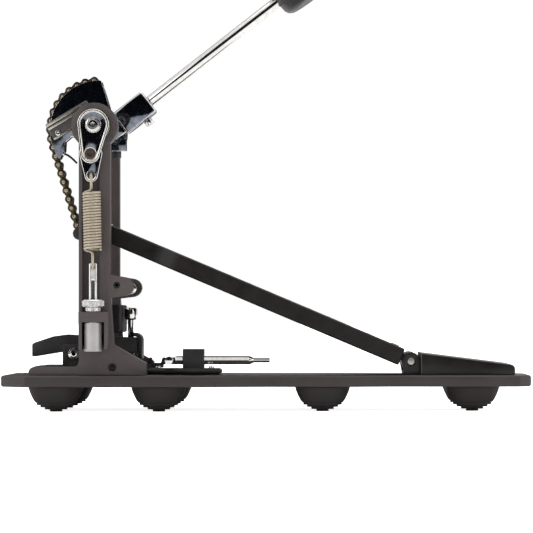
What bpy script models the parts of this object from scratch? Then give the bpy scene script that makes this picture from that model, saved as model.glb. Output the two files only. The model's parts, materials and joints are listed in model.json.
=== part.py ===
"""Bass drum pedal: a solid base plate on eight rubber feet, two side posts that carry
a turning shaft, a chain-driven cam, a hinged footboard, a return spring, a hoop clamp
and a tool holder.

Frame: +X runs from the drum to the heel, +Z is up, and the origin is on the floor at
the centre of the object's box. Lengths are in metres.
"""
import math

import bmesh
import bpy
from mathutils import Matrix, Vector

MM = 0.001

# Clearances
GAP = 0.3 * MM            # between pieces that touch
PIN_GAP = 0.3 * MM        # radial, round a pin or a screw
SIDE_GAP = 0.4 * MM       # beside a piece that turns

# Base plate and feet
PLATE_LENGTH = 363.2 * MM
PLATE_HALF_WIDTH = 65.0 * MM
PLATE_THICKNESS = 8.0 * MM
PLATE_CHAMFER = 1.0 * MM
FOOT_HEIGHT = 17.0 * MM
FOOT_RADIUS = 19.5 * MM
FOOT_TREAD_RADIUS = 4.2 * MM
FRONT_FOOT_INSET = 35.9 * MM
SECOND_FOOT_INSET = 107.0 * MM
THIRD_FOOT_INSET = 143.0 * MM     # from the heel end
HEEL_FOOT_INSET = 38.6 * MM       # from the heel end
FRONT_FOOT_Y = 44.0 * MM
THIRD_FOOT_Y = 34.0 * MM
HEEL_FOOT_Y = 24.0 * MM

# Posts
AXLE_INSET = 63.1 * MM            # from the front end of the plate
AXLE_HEIGHT = 197.0 * MM
POST_INNER_Y = 40.0 * MM
POST_DEPTH = 12.0 * MM
POST_WEB = 4.0 * MM
POST_FRONT = 10.9 * MM            # from the axle line forwards
POST_REAR = 10.7 * MM
POST_TAPER = 2.4 * MM
FRONT_FLANGE = 2.4 * MM
REAR_FLANGE = 7.2 * MM
HOUSING_RADIUS = 16.0 * MM
HOUSING_PROUD = 2.0 * MM          # out from the post's outer face
BEARING_RADIUS = 11.0 * MM
SEAT_HEIGHT = 5.7 * MM
SEAT_REACH = 45.7 * MM
GUSSET_REACH = 35.5 * MM
GUSSET_RISE = 20.9 * MM
GUSSET_END_RISE = 8.2 * MM
ARM_REACH = 20.2 * MM
ARM_HEIGHT = 61.3 * MM            # above the plate
ARM_END_RADIUS = 6.6 * MM
STUD_RADIUS = 4.0 * MM
STUD_LENGTH = 5.8 * MM
CROSS_BLOCK_LOW = 29.5 * MM       # above the plate
CROSS_BLOCK_HIGH = 48.8 * MM
CROSS_BLOCK_DEPTH = 8.7 * MM

# Shaft and cam
SHAFT_RADIUS = 5.0 * MM
CHAIN_PITCH = 6.35 * MM
CHAIN_RADIUS = 34.9 * MM          # to the line of the chain's pins
CHAIN_PLATE_RADIUS = 2.9 * MM
CHAIN_WAIST = 0.72                # half-height between the pins, of the plate's radius
CHAIN_OUTER_WAIST = 0.78
CHAIN_PIN_RADIUS = 1.2 * MM
CHAIN_INNER_HALF = 5.7 * MM
CHAIN_PLATE = 0.9 * MM
CHAIN_FREE_LINKS = 6
CHAIN_FIXED_LINKS = 4
FLANGE_RADIUS = 34.7 * MM
FLANGE_THICKNESS = 2.2 * MM
CAM_START = 88.0                  # degrees, at the top of the cam
CAM_END = 216.0                   # degrees, at its tip

# Footboard
HINGE_INSET = 81.5 * MM           # from the heel end of the plate
HINGE_HEIGHT = 9.4 * MM           # above the plate
TOE_PIVOT_X = -14.1 * MM          # from the axle
TOE_PIVOT_Z = -73.0 * MM
PIVOT_DROP = 8.0 * MM             # below the hinge line, square to the board
BOARD_TOP = 6.4 * MM              # above the hinge line
BOARD_DEPTH = 12.3 * MM
BOARD_SHEET = 3.0 * MM
SKIRT_SHEET = 2.5 * MM
BOARD_HALF_WIDTH = 38.5 * MM
TOE_HALF_WIDTH = 31.0 * MM
BOARD_HEEL_GAP = 7.25 * MM        # from the hinge line to the board's end
TOE_TAPER_START = 80.0 * MM       # back from the toe
TOE_TAPER_LENGTH = 30.0 * MM
HINGE_PIN_RADIUS = 2.5 * MM
KNUCKLE_RADIUS = 6.2 * MM
KNUCKLE_HALF = 25.7 * MM
EAR_THICKNESS = 8.0 * MM
EAR_RADIUS = 6.5 * MM

# Heel plate
HEEL_LENGTH = 65.6 * MM
HEEL_FRONT_HEIGHT = 15.4 * MM
HEEL_REAR_HEIGHT = 7.6 * MM
HEEL_WALL = 3.0 * MM

# Beater
BEATER_ANGLE = 38.0               # degrees above the floor, at rest
BEATER_OFFSET = -5.5 * MM         # rod line from the axle
HUB_START = 14.0 * MM
HUB_END = 40.0 * MM
HUB_LOW = -14.2 * MM
HUB_HIGH = 3.5 * MM
HUB_HALF_WIDTH = 8.0 * MM
ROD_RADIUS = 4.0 * MM
ROD_LENGTH = 176.0 * MM
HEAD_RADIUS = 26.0 * MM
CORE_LENGTH = 26.0 * MM
FELT_LENGTH = 19.0 * MM
HEAD_FROM_ROD_END = 11.0 * MM

# Spring side
SPRING_OUT = 8.0 * MM             # from the post's outer face
LEVER_LENGTH = 20.0 * MM
LEVER_LEAN = 5.5                  # degrees, from straight down
LEVER_BIG_RADIUS = 10.8 * MM
LEVER_SMALL_RADIUS = 6.4 * MM
LEVER_THICKNESS = 4.6 * MM
LEVER_BOLT_RADIUS = 4.3 * MM
LEVER_BOLT_HEAD = 3.0 * MM
LINK_THICKNESS = 3.0 * MM
LINK_HALF_WIDTH = 7.9 * MM
LINK_END_HALF_WIDTH = 4.6 * MM
LINK_EYE_DROP = 14.7 * MM
LINK_EYE_RADIUS = 2.6 * MM
ANCHOR_X = -0.4 * MM              # from the axle
ANCHOR_HEIGHT = 99.4 * MM
COIL_RADIUS = 5.5 * MM            # to the middle of the wire
COIL_WIRE = 0.78 * MM
COIL_TURNS = 20
COIL_START = 12.3 * MM            # above the anchor
COIL_END = 51.2 * MM
HOOK_WIRE = 0.9 * MM
HOOK_HALF = 2.9 * MM
EYE_HALF_WIDTH = 2.6 * MM
EYE_HALF_THICKNESS = 1.6 * MM
EYE_HOLE = 1.55 * MM
EYE_ROD_RADIUS = 2.5 * MM
BLOCK_LOW = 36.8 * MM             # web block, above the plate
BLOCK_HIGH = 43.8 * MM
BRACKET_LOW = 18.0 * MM
BRACKET_DEPTH = 13.5 * MM
BRACKET_INSET = 0.9 * MM
SLEEVE_RADIUS = 6.15 * MM
SLEEVE_LENGTH = 20.0 * MM
RING_RADIUS = 5.2 * MM
RING_HEIGHT = 2.8 * MM
NUT_RADIUS = 7.5 * MM
NUT_HEIGHT = 4.9 * MM

# Hoop clamp
CLAMP_HALF_WIDTH = 12.0 * MM
CLAMP_PIVOT_X = -17.3 * MM        # from the axle
CLAMP_PIVOT_HEIGHT = 14.4 * MM    # above the plate
CLAMP_PIVOT_RADIUS = 3.0 * MM
CLAMP_EAR = 3.0 * MM
CLAMP_SCREW_X = 21.6 * MM         # from the axle
CLAMP_SCREW_RADIUS = 2.15 * MM
CLAMP_SCREW_ROOM = 1.9 * MM        # radial, for the arm to tilt round the screw
CLAMP_SCREW_TOP = 42.6 * MM       # above the plate
CLAMP_KNOB_RADIUS = 4.5 * MM
CLAMP_KNOB_HALF = 4.3 * MM
CLAMP_KNOB_ROOM = 0.8 * MM        # to the block in front of it
PAD_HALF_WIDTH = 24.0 * MM

# Tool holder
TOOL_PLATE_START = 34.2 * MM      # from the axle
TOOL_PLATE_END = 86.3 * MM
TOOL_PLATE_THICKNESS = 4.1 * MM
TOOL_PLATE_NEAR = 31.0 * MM
TOOL_PLATE_FAR = -3.0 * MM
KEY_Y = -22.0 * MM
KEY_HEIGHT = 10.1 * MM            # above the plate
KEY_RADIUS = 2.95 * MM
KEY_TIP_RADIUS = 1.65 * MM
KEY_START = 50.4 * MM             # from the axle
KEY_SHOULDER = 105.9 * MM
KEY_END = 120.2 * MM
KEY_LEG = 16.0 * MM
CLIP_START = 59.5 * MM
CLIP_LENGTH = 15.0 * MM
CLIP_WALL = 2.0 * MM
CLIP_RISE = 18.0 * MM             # above the plate
WING_X = 40.5 * MM
WING_Y = -4.0 * MM
WING_HUB_RADIUS = 4.6 * MM
WING_HALF_SPAN = 6.7 * MM
WING_HEIGHT = 7.6 * MM

# Places worked out from the sizes above
FRONT = -PLATE_LENGTH / 2
REAR = PLATE_LENGTH / 2
PLATE_TOP = FOOT_HEIGHT + PLATE_THICKNESS
STAND = PLATE_TOP + GAP
AXLE_X = FRONT + AXLE_INSET
AXLE_Z = AXLE_HEIGHT
POST_OUTER_Y = POST_INNER_Y + POST_DEPTH
HOUSING_OUTER_Y = POST_OUTER_Y + HOUSING_PROUD
SPRING_Y = POST_OUTER_Y + SPRING_OUT
HINGE_X = REAR - HINGE_INSET
HINGE_Z = PLATE_TOP + HINGE_HEIGHT
LINK_OUTER_Y = SPRING_Y + LINK_THICKNESS / 2
LEVER_INNER_Y = LINK_OUTER_Y + SIDE_GAP
LEVER_OUTER_Y = LEVER_INNER_Y + LEVER_THICKNESS
NEAR_REACH = LEVER_OUTER_Y + GAP + LEVER_BOLT_HEAD
FAR_REACH = PLATE_HALF_WIDTH
MID_Y = (NEAR_REACH - FAR_REACH) / 2

SEGMENTS = 20
FINE_SEGMENTS = 28

MATERIALS = {
    "frame_metal": ((0.075, 0.062, 0.060), 0.3, 0.55),
    "board_metal": ((0.022, 0.019, 0.018), 0.4, 0.38),
    "clamp_metal": ((0.018, 0.017, 0.017), 0.3, 0.5),
    "plated": ((0.45, 0.44, 0.42), 1.0, 0.12),
    "zinc": ((0.72, 0.70, 0.66), 1.0, 0.3),
    "aluminium": ((0.70, 0.68, 0.64), 1.0, 0.38),
    "spring_steel": ((0.66, 0.60, 0.48), 1.0, 0.3),
    "chrome": ((0.75, 0.74, 0.72), 1.0, 0.08),
    "chain_steel": ((0.20, 0.16, 0.10), 1.0, 0.35),
    "rubber": ((0.030, 0.026, 0.025), 0.0, 0.75),
    "plastic": ((0.020, 0.019, 0.020), 0.0, 0.45),
    "felt": ((0.75, 0.73, 0.68), 0.0, 0.95),
}


# ---------------------------------------------------------------- tools

def clear_scene():
    """Remove every object that the file opened with."""
    for old in list(bpy.data.objects):
        bpy.data.objects.remove(old, do_unlink=True)


def make_collection(name):
    """Return a new collection linked to the scene."""
    collection = bpy.data.collections.new(name)
    bpy.context.scene.collection.children.link(collection)
    return collection


def make_material(name, colour, metallic, roughness):
    """Return a Principled material."""
    material = bpy.data.materials.new(name)
    material.use_nodes = True
    shader = material.node_tree.nodes["Principled BSDF"]
    shader.inputs["Base Color"].default_value = (*colour, 1.0)
    shader.inputs["Metallic"].default_value = metallic
    shader.inputs["Roughness"].default_value = roughness
    material.diffuse_color = (*colour, 1.0)
    return material


def link_mesh(mesh):
    """Put a mesh in the scene as a new object."""
    piece = bpy.data.objects.new("piece", mesh)
    bpy.context.scene.collection.objects.link(piece)
    return piece


def from_bmesh(shape):
    """Turn a bmesh into an object in the scene."""
    mesh = bpy.data.meshes.new("piece")
    shape.to_mesh(mesh)
    shape.free()
    return link_mesh(mesh)


def curve_to_mesh(curve):
    """Replace a curve object by its closed mesh."""
    evaluated = curve.evaluated_get(bpy.context.evaluated_depsgraph_get())
    mesh = bpy.data.meshes.new_from_object(evaluated)
    shape = bmesh.new()
    shape.from_mesh(mesh)
    bmesh.ops.remove_doubles(shape, verts=shape.verts, dist=0.00001)
    if curve.data.dimensions == "2D":
        bmesh.ops.dissolve_limit(shape, angle_limit=math.radians(1), verts=shape.verts,
                                 edges=shape.edges)
    bmesh.ops.recalc_face_normals(shape, faces=shape.faces)
    shape.to_mesh(mesh)
    shape.free()
    piece = link_mesh(mesh)
    piece.matrix_world = curve.matrix_world
    bpy.data.objects.remove(curve, do_unlink=True)
    return piece


def flat_outline(points, thickness):
    """Return a plate whose outline is in X and Y, centred on Z = 0."""
    data = bpy.data.curves.new("outline", "CURVE")
    data.dimensions = "2D"
    data.fill_mode = "BOTH"
    data.extrude = thickness / 2
    spline = data.splines.new("POLY")
    spline.points.add(len(points) - 1)
    for point, (across, up) in zip(spline.points, points):
        point.co = (across, up, 0.0, 1.0)
    spline.use_cyclic_u = True
    curve = bpy.data.objects.new("outline", data)
    bpy.context.scene.collection.objects.link(curve)
    bpy.context.view_layer.update()
    return curve_to_mesh(curve)


def side_outline(points, near, far):
    """Return a plate whose outline is in X and Z, from Y = near to Y = far."""
    piece = flat_outline(points, far - near)
    place = Matrix.Translation((0.0, (near + far) / 2, 0.0))
    piece.data.transform(place @ Matrix.Rotation(math.radians(90), 4, "X"))
    return piece


def plan_outline(points, low, high):
    """Return a plate whose outline is in X and Y, from Z = low to Z = high."""
    piece = flat_outline(points, high - low)
    piece.data.transform(Matrix.Translation((0.0, 0.0, (low + high) / 2)))
    return piece


def box(low, high):
    """Return a block between two corners."""
    low = Vector(low)
    high = Vector(high)
    shape = bmesh.new()
    bmesh.ops.create_cube(shape, size=1.0)
    bmesh.ops.scale(shape, vec=high - low, verts=shape.verts)
    bmesh.ops.translate(shape, vec=(low + high) / 2, verts=shape.verts)
    return from_bmesh(shape)


def cylinder(start, end, radius, segments=SEGMENTS, end_radius=None):
    """Return a closed cylinder or cone between two points."""
    start = Vector(start)
    end = Vector(end)
    along = end - start
    if end_radius is None:
        end_radius = radius
    shape = bmesh.new()
    bmesh.ops.create_cone(shape, cap_ends=True, segments=segments, radius1=radius,
                          radius2=end_radius, depth=along.length)
    turn = along.to_track_quat("Z", "Y").to_matrix().to_4x4()
    place = Matrix.Translation((start + end) / 2)
    bmesh.ops.transform(shape, matrix=place @ turn, verts=shape.verts)
    return from_bmesh(shape)


def across(x, z, near, far, radius, segments=SEGMENTS):
    """Return a cylinder along Y."""
    return cylinder((x, near, z), (x, far, z), radius, segments)


def upright(x, y, low, high, radius, segments=SEGMENTS):
    """Return a cylinder along Z."""
    return cylinder((x, y, low), (x, y, high), radius, segments)


def turned(profile, steps):
    """Return a solid of revolution about Z from (radius, height) points, top first."""
    mesh = bpy.data.meshes.new("profile")
    edges = [(index, index + 1) for index in range(len(profile) - 1)]
    mesh.from_pydata([(radius, 0.0, height) for radius, height in profile], edges, [])
    piece = link_mesh(mesh)
    screw = piece.modifiers.new("turn", "SCREW")
    screw.steps = steps
    screw.render_steps = steps
    screw.use_merge_vertices = True
    screw.merge_threshold = 0.00001
    apply_modifiers(piece)
    return piece


def wire(points, radius, cyclic=False):
    """Return a round wire along a list of points."""
    data = bpy.data.curves.new("wire", "CURVE")
    data.dimensions = "3D"
    data.bevel_depth = radius
    data.bevel_resolution = 2
    data.use_fill_caps = not cyclic
    spline = data.splines.new("POLY")
    spline.points.add(len(points) - 1)
    for point, place in zip(spline.points, points):
        point.co = (*place, 1.0)
    spline.use_cyclic_u = cyclic
    curve = bpy.data.objects.new("wire", data)
    bpy.context.scene.collection.objects.link(curve)
    bpy.context.view_layer.update()
    return curve_to_mesh(curve)


def apply_modifiers(piece):
    """Apply every modifier on a piece."""
    bpy.context.view_layer.objects.active = piece
    for modifier in list(piece.modifiers):
        bpy.ops.object.modifier_apply(modifier=modifier.name)


def combine(piece, tool, operation):
    """Cut or join one mesh with another, and remove the tool."""
    modifier = piece.modifiers.new(operation.lower(), "BOOLEAN")
    modifier.operation = operation
    modifier.solver = "EXACT"
    modifier.object = tool
    apply_modifiers(piece)
    bpy.data.objects.remove(tool, do_unlink=True)
    return piece


def unite(piece, *tools):
    """Join pieces into one body."""
    for tool in tools:
        combine(piece, tool, "UNION")
    return piece


def cut(piece, *tools):
    """Cut each tool out of a piece."""
    for tool in tools:
        combine(piece, tool, "DIFFERENCE")
    return piece


def bevel(piece, width, segments=1, angle=35.0):
    """Round or chamfer the edges sharper than an angle."""
    modifier = piece.modifiers.new("edge", "BEVEL")
    modifier.width = width
    modifier.segments = segments
    modifier.limit_method = "ANGLE"
    modifier.angle_limit = math.radians(angle)
    apply_modifiers(piece)
    return piece


def arc(x, z, radius, start, end, steps):
    """Return points on an arc, from one angle in degrees to another."""
    points = []
    for step in range(steps + 1):
        angle = math.radians(start + (end - start) * step / steps)
        points.append((x + radius * math.cos(angle), z + radius * math.sin(angle)))
    return points


def smooth_step(share):
    """Ease from 0 to 1."""
    return share * share * (3 - 2 * share)


class Assembly:
    """The pedal's named pieces, their materials and the empties that place them."""

    def __init__(self):
        self.parts = make_collection("bass_drum_pedal")
        self.slots = {}
        for slot, settings in MATERIALS.items():
            self.slots[slot] = make_material(slot, *settings)
        self.root = self.empty("pedal_middle", (0.0, MID_Y, 0.0))
        self.axle = self.empty("axle_line", (AXLE_X, 0.0, AXLE_Z), self.root)
        self.board = self.empty("board_line", (HINGE_X, 0.0, HINGE_Z), self.root)
        self.board.rotation_euler.y = board_slope()
        self.beater = self.empty("beater_line", (0.0, 0.0, 0.0), self.axle)
        self.beater.rotation_euler.y = -math.radians(BEATER_ANGLE)
        anchor = (AXLE_X + ANCHOR_X, -SPRING_Y, ANCHOR_HEIGHT)
        self.spring = self.empty("spring_line", anchor, self.root)
        self.spring.rotation_euler.y = spring_line()[1]

    def empty(self, name, place, parent=None):
        """Add an empty that pieces are placed by."""
        marker = bpy.data.objects.new(name, None)
        marker.location = place
        marker.parent = parent
        self.parts.objects.link(marker)
        return marker

    def add(self, piece, name, slot, parent=None, origin=(0.0, 0.0, 0.0)):
        """Name a piece, dress it, and set its parent and its origin."""
        bpy.context.scene.collection.objects.unlink(piece)
        self.parts.objects.link(piece)
        piece.name = name
        piece.data.name = name
        piece.data.transform(Matrix.Translation(-Vector(origin)))
        piece.location = origin
        piece.parent = parent or self.root
        piece.data.materials.clear()
        piece.data.materials.append(self.slots[slot])
        piece.data.shade_smooth()
        piece.data.set_sharp_from_angle(angle=math.radians(35))
        return piece


# ---------------------------------------------------------------- places

def board_slope():
    """Slope of the footboard at rest, in radians."""
    run = HINGE_X - (AXLE_X + TOE_PIVOT_X)
    rise = AXLE_Z + TOE_PIVOT_Z - HINGE_Z
    return math.atan2(rise, run) + math.asin(PIVOT_DROP / math.hypot(run, rise))


def board_reach():
    """Distance along the board from the hinge line to the toe pivot."""
    run = HINGE_X - (AXLE_X + TOE_PIVOT_X)
    rise = AXLE_Z + TOE_PIVOT_Z - HINGE_Z
    return math.sqrt(run * run + rise * rise - PIVOT_DROP * PIVOT_DROP)


def lever_pivot():
    """Place of the lever's small end from the axle, in X and Z."""
    lean = math.radians(LEVER_LEAN)
    return -LEVER_LENGTH * math.sin(lean), -LEVER_LENGTH * math.cos(lean)


def spring_line():
    """Length and lean of the line from the spring's anchor to the lever's pivot."""
    pivot_x, pivot_z = lever_pivot()
    across_x = pivot_x - ANCHOR_X
    up = AXLE_Z + pivot_z - ANCHOR_HEIGHT
    return math.hypot(across_x, up), math.atan2(across_x, up)


def chain_pins():
    """Places of the chain's pins from the axle: the top of the cam first, toe last."""
    reach = math.hypot(TOE_PIVOT_X, TOE_PIVOT_Z)
    run = math.sqrt(reach * reach - CHAIN_RADIUS * CHAIN_RADIUS)
    leave = (math.atan2(TOE_PIVOT_Z, TOE_PIVOT_X) % math.tau
             - math.acos(CHAIN_RADIUS / reach))
    run_links = int(run / CHAIN_PITCH)
    straight = run - run_links * CHAIN_PITCH
    down = (-math.sin(leave), math.cos(leave))
    edge = (CHAIN_RADIUS * math.cos(leave), CHAIN_RADIUS * math.sin(leave))
    step = 2 * math.asin(CHAIN_PITCH / 2 / CHAIN_RADIUS)
    first = leave - (CHAIN_PITCH - straight) / CHAIN_RADIUS
    pins = []
    for index in range(CHAIN_FREE_LINKS + CHAIN_FIXED_LINKS):
        angle = first - step * index
        pins.append((CHAIN_RADIUS * math.cos(angle), CHAIN_RADIUS * math.sin(angle)))
    pins.reverse()
    for index in range(run_links + 1):
        length = straight + CHAIN_PITCH * index
        pins.append((edge[0] + down[0] * length, edge[1] + down[1] * length))
    return pins


# ---------------------------------------------------------------- base

def plate_outline():
    """Return the base plate's outline in X and Y."""
    half = PLATE_HALF_WIDTH
    stations = [
        (FRONT, half - 18.0 * MM),
        (FRONT + 18.0 * MM, half),
        (AXLE_X + 56.0 * MM, half),
        (AXLE_X + 122.0 * MM, THIRD_FOOT_Y + 17.0 * MM),
        (REAR - THIRD_FOOT_INSET, THIRD_FOOT_Y + FOOT_RADIUS + 1.5 * MM),
        (REAR - 88.0 * MM, HEEL_FOOT_Y + 20.0 * MM),
        (REAR - HEEL_FOOT_INSET, HEEL_FOOT_Y + FOOT_RADIUS + 3.5 * MM),
        (REAR - 8.0 * MM, HEEL_FOOT_Y + 17.5 * MM),
        (REAR, HEEL_FOOT_Y + 9.5 * MM),
    ]
    straight = (0, 1, 7)
    side = [stations[0]]
    for index in range(len(stations) - 1):
        start, end = stations[index], stations[index + 1]
        steps = 1 if index in straight else 5
        for step in range(1, steps + 1):
            share = step / steps
            x = start[0] + (end[0] - start[0]) * share
            side.append((x, start[1] + (end[1] - start[1]) * smooth_step(share)))
    return side + [(x, -y) for x, y in reversed(side)]


def build_base(pedal):
    """Build the base plate and its eight feet."""
    plate = plan_outline(plate_outline(), FOOT_HEIGHT, PLATE_TOP)
    bevel(plate, PLATE_CHAMFER, 1, 60.0)
    pedal.add(plate, "base_plate", "frame_metal")
    places = []
    for x, y in (
        (FRONT + FRONT_FOOT_INSET, FRONT_FOOT_Y),
        (FRONT + SECOND_FOOT_INSET, FRONT_FOOT_Y),
        (REAR - THIRD_FOOT_INSET, THIRD_FOOT_Y),
        (REAR - HEEL_FOOT_INSET, HEEL_FOOT_Y),
    ):
        places += [(x, -y), (x, y)]
    height = FOOT_HEIGHT - GAP
    profile = [
        (0.0, height),
        (FOOT_RADIUS, height),
        (FOOT_RADIUS * 0.985, height * 0.84),
        (FOOT_RADIUS * 0.93, height * 0.69),
        (FOOT_RADIUS * 0.83, height * 0.52),
        (FOOT_RADIUS * 0.69, height * 0.34),
        (FOOT_RADIUS * 0.48, height * 0.15),
        (FOOT_TREAD_RADIUS, 0.0),
        (0.0, 0.0),
    ]
    for index, (x, y) in enumerate(places):
        foot = turned(profile, 18)
        foot.data.transform(Matrix.Translation((x, y, 0.0)))
        pedal.add(foot, f"rubber_foot_{index + 1}", "rubber", origin=(x, y, 0.0))


# ---------------------------------------------------------------- posts

def post_side():
    """Return the outline of a post with its foot and gusset, in X and Z."""
    left = AXLE_X - POST_FRONT
    right = AXLE_X + POST_REAR
    seat_top = STAND + SEAT_HEIGHT
    seat_front = AXLE_X - SEAT_REACH
    nose = 4.0 * MM
    fillet = 3.5 * MM
    points = [
        (AXLE_X + GUSSET_REACH, STAND),
        (AXLE_X + GUSSET_REACH, STAND + GUSSET_END_RISE),
        (right + POST_TAPER, STAND + GUSSET_RISE),
        (right, STAND + 3 * GUSSET_RISE),
        (right, AXLE_Z),
        (left, AXLE_Z),
    ]
    points += arc(left - fillet, seat_top + fillet, fillet, 0, -90, 3)
    points += arc(seat_front + nose, seat_top - nose, nose, 90, 180, 4)
    points.append((seat_front, STAND))
    return points


def arm_side():
    """Return the outline of the arm on the rear of a post, in X and Z."""
    root = AXLE_X + POST_REAR - REAR_FLANGE + MM
    z = PLATE_TOP + ARM_HEIGHT
    points = [(root, z - 8.6 * MM)]
    points += arc(AXLE_X + ARM_REACH, z, ARM_END_RADIUS, -80, 75, 6)
    points.append((root, z + 9.3 * MM))
    return points


def post_body():
    """Return a post on the near side, without its spring bracket."""
    outer, inner = -POST_OUTER_Y, -POST_INNER_Y
    left = AXLE_X - POST_FRONT
    right = AXLE_X + POST_REAR
    post = side_outline(post_side(), outer, inner)
    recess_low = PLATE_TOP + BLOCK_HIGH
    recess = box((left + FRONT_FLANGE, outer - MM, recess_low),
                 (right - REAR_FLANGE, inner - POST_WEB, AXLE_Z - 0.75 * HOUSING_RADIUS))
    pocket = box((left + FRONT_FLANGE, outer - MM, PLATE_TOP + BRACKET_LOW + 3 * MM),
                 (right - FRONT_FLANGE, inner - POST_WEB, PLATE_TOP + BLOCK_LOW))
    cut(post, recess, pocket)
    step = 0.4 * MM
    unite(post, side_outline(arm_side(), outer + step, inner - step))
    unite(post, across(AXLE_X, AXLE_Z, -HOUSING_OUTER_Y, inner - step, HOUSING_RADIUS, 32))
    bore = BEARING_RADIUS + GAP
    cut(post, across(AXLE_X, AXLE_Z, -HOUSING_OUTER_Y - MM, inner + MM, bore, 24))
    hole_x = AXLE_X + 12.1 * MM
    cut(post, across(hole_x, STAND + 5.1 * MM, outer - MM, inner + MM, 2.7 * MM, 12))
    cut(post, across(hole_x, STAND + 5.1 * MM, outer - MM, outer + MM, 3.7 * MM, 12))
    screw_x = AXLE_X + 15.2 * MM
    screw_z = PLATE_TOP + ARM_HEIGHT + MM
    cut(post, across(screw_x, screw_z, outer - MM, outer + 2 * MM, 2.4 * MM, 12))
    return post


def spring_bracket(post):
    """Join the bracket that holds the eye bolt and its sleeve to a post."""
    left = AXLE_X - POST_FRONT + BRACKET_INSET
    right = AXLE_X + POST_REAR - BRACKET_INSET
    outer = -POST_OUTER_Y - BRACKET_DEPTH
    inner = -POST_OUTER_Y + MM
    low = PLATE_TOP + BRACKET_LOW
    wall = FRONT_FLANGE - 0.2 * MM
    bolt_x = AXLE_X + ANCHOR_X
    block = box((left, outer, PLATE_TOP + BLOCK_LOW), (right, inner, PLATE_TOP + BLOCK_HIGH))
    front_wall = box((left, outer, low), (left + wall, inner, PLATE_TOP + BLOCK_LOW + MM))
    rear_wall = box((right - wall, outer, low), (right, inner, PLATE_TOP + BLOCK_LOW + MM))
    unite(post, block, front_wall, rear_wall)
    hole = upright(bolt_x, -SPRING_Y, PLATE_TOP + BLOCK_LOW - MM,
                   PLATE_TOP + BLOCK_HIGH + MM, EYE_ROD_RADIUS + PIN_GAP, 16)
    return cut(post, hole)


def build_posts(pedal):
    """Build both posts, the block between them, the studs and the bearings."""
    near = spring_bracket(post_body())
    pedal.add(near, "near_post", "frame_metal")
    far = post_body()
    far.data.transform(Matrix.Diagonal((1.0, -1.0, 1.0, 1.0)))
    far.data.flip_normals()
    pedal.add(far, "far_post", "frame_metal")
    inside = POST_INNER_Y - GAP
    block_end = AXLE_X + CLAMP_SCREW_X - CLAMP_KNOB_RADIUS - CLAMP_KNOB_ROOM
    block = box((block_end - CROSS_BLOCK_DEPTH, -inside, PLATE_TOP + CROSS_BLOCK_LOW),
                (block_end, inside, PLATE_TOP + CROSS_BLOCK_HIGH))
    bevel(block, 0.8 * MM)
    pedal.add(block, "cross_block", "clamp_metal")
    stud_x = AXLE_X + ARM_REACH - 0.8 * MM
    stud_z = PLATE_TOP + ARM_HEIGHT - 0.5 * MM
    for name, side in (("near", -1), ("far", 1)):
        start, end = side * inside, side * (inside - STUD_LENGTH)
        stud = across(stud_x, stud_z, min(start, end), max(start, end), STUD_RADIUS, 16)
        pedal.add(stud, f"{name}_arm_stud", "chrome")
        start, end = side * (POST_INNER_Y + MM), side * (HOUSING_OUTER_Y - MM)
        low, high = min(start, end), max(start, end)
        ring = across(AXLE_X, AXLE_Z, low, high, BEARING_RADIUS, 24)
        bore = SHAFT_RADIUS + PIN_GAP
        cut(ring, across(AXLE_X, AXLE_Z, low - MM, high + MM, bore, SEGMENTS))
        pedal.add(ring, f"{name}_bearing", "aluminium")


# ---------------------------------------------------------------- shaft and cam

def cam_outline(radius):
    """Return the cam's outline about the axle, with its rim at a radius."""
    tip = math.radians(CAM_END)
    edge = radius * math.cos(tip)
    points = arc(0.0, 0.0, radius, CAM_START, CAM_END, 20)
    points += [
        (edge + 3.4 * MM, radius * math.sin(tip) + 6.0 * MM),
        (edge + 3.8 * MM, -8.0 * MM),
        (-20.5 * MM, -4.6 * MM),
    ]
    points += arc(0.0, 0.0, 9.5 * MM, 205, 415, 10)
    points.append((7.0 * MM, 16.0 * MM))
    return points


def build_shaft(pedal):
    """Build the shaft, the cam and what is fixed to them."""
    axle = pedal.axle
    shaft_end = HOUSING_OUTER_Y + 4 * MM
    shaft = across(0.0, 0.0, -LEVER_OUTER_Y, shaft_end, SHAFT_RADIUS)
    pedal.add(shaft, "main_shaft", "plated", axle)
    flange = CHAIN_INNER_HALF + CHAIN_PLATE + 0.3 * MM + SIDE_GAP
    reach = flange + FLANGE_THICKNESS
    cam = side_outline(cam_outline(FLANGE_RADIUS), -reach, reach)
    rim = CHAIN_RADIUS - CHAIN_PLATE_RADIUS - GAP
    groove = arc(0.0, 0.0, FLANGE_RADIUS + 3 * MM, CAM_START - 12, CAM_END + 12, 20)
    groove += arc(0.0, 0.0, rim, CAM_END + 12, CAM_START - 12, 24)
    cut(cam, side_outline(groove, -flange, flange))
    turn = Matrix.Rotation(-math.radians(BEATER_ANGLE), 4, "Y")
    saddle = box((5 * MM, -HUB_HALF_WIDTH, HUB_LOW + 2 * MM),
                 (HUB_START - GAP, HUB_HALF_WIDTH, HUB_HIGH))
    saddle.data.transform(turn)
    unite(cam, saddle)
    bore = SHAFT_RADIUS + PIN_GAP
    cut(cam, across(0.0, 0.0, -reach - MM, reach + MM, bore))
    pedal.add(cam, "drive_cam", "plated", axle)
    build_cam_slide(pedal, reach)
    build_collar(pedal, reach)
    build_lever(pedal)


def build_cam_slide(pedal, reach):
    """Build the ribbed slide on the near side of the cam."""
    length = 34.0 * MM
    half = 6.5 * MM
    slide = box((-length / 2, -reach - GAP - 4.0 * MM, -half),
                (length / 2, -reach - GAP, half))
    bevel(slide, 0.7 * MM)
    rise = Matrix.Rotation(-math.radians(31), 4, "Y")
    slide.data.transform(Matrix.Translation((-20.0 * MM, 0.0, 6.5 * MM)) @ rise)
    clear = SHAFT_RADIUS + 4 * MM
    cut(slide, across(0.0, 0.0, -reach - 6 * MM, -reach + MM, clear))
    pedal.add(slide, "cam_slide", "clamp_metal", pedal.axle)


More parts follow.
